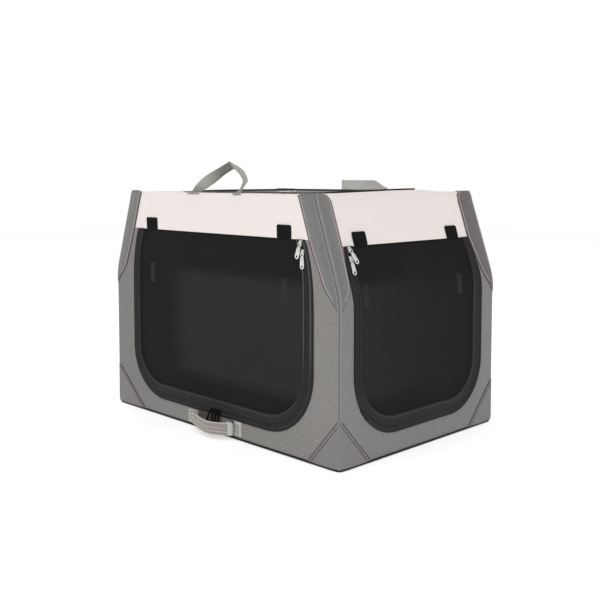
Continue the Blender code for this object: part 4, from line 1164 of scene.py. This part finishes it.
def make_straps():
    line_y = FRONT_Y + 0.015
    upper, lower = (curve_through([(x, line_y + y, z) for x, y, z in edge], 4)
                    for edge in (STRAP_UPPER, STRAP_LOWER))
    strap = webbing_of("front_strap_webbing", upper, lower, 0.0018)
    # Its webbing carries painted shade over the strap's top
    fit(strap, "strap_webbing", "front_strap", stands_for="front_strap_handle")
    upper, lower = [], []
    for share in spread(0.0, 1.0, 24):
        x = mix(-0.0800, 0.0760, share)
        fall = eased((share - 0.72) / 0.28)
        bend = 0.0035 * math.sin(2 * math.pi * share)
        upper.append(Vector((x, bend - line_y, mix(0.5572, 0.5385, fall))))
        lower.append(Vector((x - 0.001 * fall, -line_y - bend * 0.4, 0.5316)))
    strap = webbing_of("back_strap_webbing", upper, lower, 0.0019)
    # The back strap takes the paler webbing, painted light on its shaded face
    fit(strap, "pale_webbing", "back_strap", stands_for="back_strap_handle")
    for way, low, high, spans in (
        ("front", -0.2565, -0.2345, ((-0.0965, -0.0655), (0.0545, 0.0785))),
        ("back", 0.2345, 0.2565, ((-0.100, -0.074), (0.060, 0.086))),
    ):
        feet = [soft_tab("foot", "roof", a, b, low, high, 0.0002, 0.0014, 0.0015) for a, b in spans]
        if way == "front":
            feet += [soft_tab("brim", "brim", a, b, -0.0030, 0.0040, 0.0010, 0.0014, 0.0008)
                     for a, b in ((-0.091, -0.047), (0.067, 0.093))]
        fit(joined(f"{way}_strap_feet", feet), "ribbed_webbing", "top")


# The carry handle stands this far from the wall, and bows out from there: (x, bow)
GRIP_Y = FRONT_Y - 0.0026
GRIP_LINE = [(-0.0740, 0.0030), (-0.0650, 0.0080), (-0.0450, 0.0155), (-0.0140, 0.0265),
             (0.0070, 0.0312), (0.0200, 0.0330), (0.0330, 0.0312), (0.0470, 0.0245),
             (0.0645, 0.0150)]
GRIP_Z, GRIP_HALF, GRIP_THICK = 0.0235, 0.0135, 0.0029
# Its two seams, then a light cord along its top edge that is a painted highlight: how far up it,
# how far out, and the thread's radius. The first two draw it in
GRIP_SEAMS_AND_HIGHLIGHT = ((0.58, 0.80, 0.0007), (0.28, 0.80, 0.0007), (0.985, 0.5, 0.0013))
# The webbing at its end: (x, bow, half its height)
GRIP_END = ((0.0625, 0.0162, 0.0146), (0.0650, 0.0152, 0.0148), (0.0690, 0.0140, 0.0148),
            (0.0725, 0.0122, 0.0146), (0.0745, 0.0095, 0.0138), (0.0740, 0.0060, 0.0090),
            (0.0700, 0.0034, 0.0045))


def make_grip():
    line = curve_through([(x, GRIP_Y - bow, 0.0) for x, bow in GRIP_LINE], 6)
    rings = []
    seams = [[] for _ in GRIP_SEAMS_AND_HIGHLIGHT]
    for place, (ahead, behind) in zip(line, next_to(line)):
        out = (ahead - behind).normalized().cross(Z).normalized()
        bow = GRIP_Y - place.y
        high = min(GRIP_HALF, 0.0040 + bow * 0.8) + GRIP_Z
        low = GRIP_Z - min(GRIP_HALF, 0.008 + bow)
        thick = GRIP_THICK * (0.45 + 0.55 * eased(bow / 0.015))
        ring = []
        for a, b in circle(28):
            z = (high + low) / 2 + bulged(b, 0.45) * (high - low) / 2
            fold = 1 - sum(0.22 * hump(z - mix(low, high, share), 0.0012)
                           for share, _, _ in GRIP_SEAMS_AND_HIGHLIGHT[:2])
            ring.append(place + out * bulged(a, 0.75) * thick * fold + Z * z)
        rings.append(ring)
        for seam, (share, depth, _) in zip(seams, GRIP_SEAMS_AND_HIGHLIGHT):
            seam.append(place + out * thick * depth + Z * mix(low, high, share))
    grip = smooth(rolled("carry_grip", rings), 60)
    fit(grip, "grip_cloth", "grip", stands_for="carry_handle", folds=False)
    cords = [rope("seam", seam, radius, sides=6)
             for seam, (_, _, radius) in zip(seams, GRIP_SEAMS_AND_HIGHLIGHT)]
    fit(joined("carry_grip_seams_and_highlight", cords), "grip_seam_and_highlight", "grip", folds=False)
    upper, lower = ([Vector((x, GRIP_Y - bow, 0.0255 + side * half)) for x, bow, half in GRIP_END]
                    for side in (1, -1))
    end = webbing_of("grip_end_webbing", upper, lower, 0.0014)
    fit(end, "pale_webbing", "grip", folds=False)


def make_anchors():
    """What lies on the front under the carry handle: webbing with pads and stitches, strands of
    elastic, and a dark cord and a dark patch that paint the shade beside and behind the handle."""
    pads, cores = [], []
    for low, high, foot, head in ((-0.0905, -0.0570, 0.0080, 0.0375),
                                  (0.0625, 0.0925, 0.0095, 0.0408)):
        pads.append(soft_tab("anchor", "front", low, high, foot, head, 0.0003, 0.0030, 0.0015))
        cores.append(soft_tab("core", "front", low + 0.0055, high - 0.0055, foot + 0.004,
                              head - 0.005, 0.0030, 0.0007, 0.0015))
    fit(joined("carry_anchor_webbing", pads), "pale_webbing",
        stands_for="carry_handle_webbing", folds=False)
    fit(joined("carry_anchor_pads", cores), "pad_cloth", folds=False)
    # A dark cord over the right pad's left edge: painted shadow in the gap between the handle's end
    # and the pad
    shade_cord = [on_face("front", 0.0668, s, 0.0036) for s in spread(0.0115, 0.0400, 8)]
    fit(rope("carry_anchor_shade_cord", shade_cord, 0.0022), "black_elastic", folds=False)
    # A dark patch behind the grip: painted shade where the grip shades the wall
    shade_patch = soft_tab("carry_grip_shade_patch", "front", -0.0565, 0.0205, 0.0105, 0.0415, 0.0002, 0.0012,
                      0.002)
    fit(shade_patch, "grip_shade_cloth", folds=False)
    rows = []
    foot, head = 0.0135, 0.034
    for low, high in ((-0.0850, -0.0630), (0.068, 0.0865)):
        a, b, c, d = (low, foot), (high, foot), (high, head), (low, head)
        for start, end in ((a, b), (b, c), (c, d), (d, a), (a, c), (b, d)):
            places = [on_face("front", u, s, 0.0038)
                      for u, s in zip(*(spread(p, q, 8) for p, q in zip(start, end)))]
            rows.append(stitch_row("row", places, [-Y] * 9, 0.0032, 0.0023))
    fit(joined("carry_anchor_stitches", rows), "grip_cloth", folds=False)
    strands = []
    for top, foot in ((-0.005, -0.017), (0.004, 0.001), (0.015, 0.0095), (0.0217, 0.0235)):
        line = [(mix(top, foot, share), FRONT_Y - out, z) for share, out, z in (
            (0.0, 0.0026, 0.0535), (0.25, 0.0065, 0.047), (0.6, 0.0090, 0.036),
            (1.0, 0.0070, 0.022), (1.0, 0.0034, 0.015))]
        strands.append(rope("elastic", curve_through(line, 5), 0.0022))
    fit(joined("elastic_strands", strands), "black_elastic", folds=False)


# Zip sliders and pulls, made once about their own middle: x across the zip, y along it, z out of
# the cloth

SLIDER_LONG, SLIDER_TOP, HINGE = 0.0108, 0.0033, 0.0043


def plate_slider():
    """A slider: two waisted plates with a diamond neck, and a bail over its top plate."""
    parts = []
    for low, high in ((0.0002, 0.0011), (0.0022, SLIDER_TOP)):
        pick()
        bpy.ops.mesh.primitive_cube_add(size=1)
        plate = bpy.context.object
        for corner in plate.data.vertices:
            x, y, z = corner.co
            half = 0.0039 if y > 0 else 0.0030
            corner.co = (math.copysign(half, x), y * SLIDER_LONG, low if z < 0 else high)
        work_on(plate)
        bpy.ops.mesh.subdivide(number_cuts=2)
        leave()
        for corner in plate.data.vertices:
            corner.co.x *= 1 - 0.14 * math.cos(corner.co.y / SLIDER_LONG * math.pi) ** 2
        parts.append(use_bevel(plate, 0.0004, 40))
    pick()
    bpy.ops.mesh.primitive_cylinder_add(vertices=4, radius=0.0022, depth=0.0016,
                                        location=(0, 0.0014, 0.0016))
    bpy.ops.object.transform_apply(location=True, rotation=True, scale=True)
    parts.append(bpy.context.object)
    arch = [Vector((0, y, z)) for y, z in (
        (-0.0037, 0.0028), (-0.0036, 0.0042), (-0.0028, 0.0053), (-0.0014, 0.0059), (0.0, 0.0060),
        (0.0014, 0.0059), (0.0028, 0.0053), (0.0036, 0.0042), (0.0037, 0.0028))]
    parts.append(rope("bail", arch, 0.00058))
    return smooth(joined("slider", parts), 40)


def plate_pull():
    """A pull: an open eye round the bail, and a plate with a slot near its round end."""
    eye = [Vector((bulged(a, 0.8) * 0.0040, b * 0.0045 - 0.0034, HINGE)) for a, b in circle(28)]
    ring = rope("eye", eye, 0.00070, loop=True)
    edge = [Vector((0.0054 * math.cos(turn), -0.0277 - 0.0054 * math.sin(turn)))
            for turn in spread(0.0, math.pi, 12)]
    side = [(0.0053, -0.0235), (0.0049, -0.0160), (0.0045, -0.0115), (0.0036, -0.0088),
            (0.0020, -0.0076)]
    edge += [Vector((-x, y)) for x, y in side] + [Vector((0.0, -0.0073))]
    edge += [Vector((x, y)) for x, y in reversed(side)]
    centre = Vector((0, -0.0282))
    rings = []
    for point in edge:
        way = (point - centre).normalized()
        slot = centre + Vector((way.x * 0.0022, way.y * 0.0030))
        places = [(point, 0.0, -0.00035), (point, 0.0, 0.00035), (point, -0.0004, 0.0006),
                  (slot, 0.0003, 0.0006), (slot, 0.0, 0.0003), (slot, 0.0, -0.0003),
                  (slot, 0.0003, -0.0006), (point, -0.0004, -0.0006)]
        rings.append([Vector((*(start + way * grow), HINGE + out)) for start, grow, out in places])
    return smooth(joined("pull", [ring, smooth(rolled("tab", rings, loop=True), 40)]), 40)


def make_zips():
    slider, pull = plate_slider(), plate_pull()
    tilt = end_profile(along(0.42))[2]
    end_up = Vector((-math.sin(tilt), 0, math.cos(tilt)))
    end_out = Vector((math.cos(tilt), 0, math.sin(tilt)))
    # For each zip: across, along and out of it, how its first pull leans, and its sliders' places
    zips = {
        "front": (X, Z, -Y, -0.304305, ((0.27355, FRONT_Y, 0.436), (0.27977, FRONT_Y, 0.418))),
        "right": (Y, end_up, end_out, 0.42, ((0.347373, -0.201258, 0.4235),
                                             (0.353536, -0.2043, 0.4055))),
        "roof": (-Y, X, Z, 0.637045, ((0.17601, -0.18, HEIGHT), (0.15601, -0.18, HEIGHT))),
    }
    for where, (across, up, out, lean, places) in zips.items():
        for way, point in zip("ab", places):
            point = Vector(point)
            if where == "roof":
                point.z += swell("roof", point.x, point.y)
            place = Matrix.Translation(point) @ turned(across, up, out)
            spin = Matrix.Rotation(lean if way == "a" else 0.0, 4, "Z")
            for kind, body, model, local in (("slider", "zip", slider, Matrix.Identity(4)),
                                             ("pull", "tab", pull, spin)):
                piece = model.copy()
                piece.data = model.data.copy()
                piece.data.transform(place @ local)
                bpy.context.scene.collection.objects.link(called(piece, f"{where}_{kind}_{way}"))
                fit(piece, "zip_plate", f"{where}_{body}_{way}",
                    stands_for=f"{where}_zip_{way}_{kind}")
    for model in (slider, pull):
        bpy.data.objects.remove(model)


def dress_frame():
    """The frame's own tubes and blocks keep their shapes."""
    kinds = {"rail": "powder_coat", "hoop": "powder_coat", "pin": "rivet_steel",
             "knee_joint": "moulded_plastic", "base_corner": "moulded_plastic",
             "top_corner": "moulded_plastic"}
    for name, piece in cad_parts.items():
        for word, finish in kinds.items():
            if word in name:
                finished(piece, finish)
                break


# Studio


def make_floor_plane():
    pick()
    bpy.ops.mesh.primitive_plane_add(size=14, location=(0, 0, -0.0006))
    floor = bpy.context.object
    floor.name = "studio_floor"
    material, tree, shader = shader_of("studio_floor", 0.9, specular=0.2)
    places = tree.nodes.new("ShaderNodeTexCoord").outputs["Object"]
    coloured(tree, shader, clouds(tree, places, 1.5, 2.0), [0.93] * 3, [0.95] * 3)
    shader.inputs["Emission Color"].default_value = (1, 1, 1, 1)
    shader.inputs["Emission Strength"].default_value = 0.42
    floor.data.materials.append(material)


def make_light():
    """A white room, seen white, and three soft lamps."""
    scene = bpy.context.scene
    scene.world = scene.world or bpy.data.worlds.new("studio")
    scene.world.use_nodes = True
    sky = scene.world.node_tree
    sky.nodes.clear()
    rays = sky.nodes.new("ShaderNodeLightPath").outputs["Is Camera Ray"]
    seen = wire(sky, "Background", (1, 1, 1, 1), 1.0)
    light = wire(sky, "Background", (1.0, 0.99, 0.985, 1), 0.60)
    both = wire(sky, "MixShader", rays, light, seen)
    sky.links.new(both, sky.nodes.new("ShaderNodeOutputWorld").inputs[0])
    for name, place, size, power in (("key", (0.6, -2.6, 2.4), 2.2, 23),
                                     ("side", (2.8, -0.4, 1.9), 1.8, 10),
                                     ("above", (-0.4, 0.4, 3.0), 2.6, 18)):
        lamp = bpy.data.lights.new(name, "AREA")
        lamp.size, lamp.energy = size, power
        item = bpy.data.objects.new(name, lamp)
        item.location = place
        aim = Vector((0, 0, 0.25)) - Vector(place)
        item.rotation_euler = aim.to_track_quat("-Z", "Y").to_euler()
        scene.collection.objects.link(item)
    scene.view_settings.view_transform = "Standard"


def make_camera():
    eye = bpy.data.cameras.new("photo_view")
    eye.lens, eye.sensor_width, eye.shift_y = 52.515, 36, -0.10
    camera = bpy.data.objects.new("photo_view", eye)
    camera.location = (1.4917, -1.4604, 0.5648)
    camera.rotation_euler = (math.radians(85.893), 0, math.radians(45.446))
    bpy.context.scene.collection.objects.link(camera)
    bpy.context.scene.camera = camera


make_floor_plane()
make_light()
make_camera()
dress_frame()
make_walls()
make_roof()
make_floor()
for face, opening in OPENINGS.items():
    make_opening(face, *opening)
make_hatch()
make_tabs()
make_corners()
make_straps()
make_grip()
make_anchors()
make_zips()
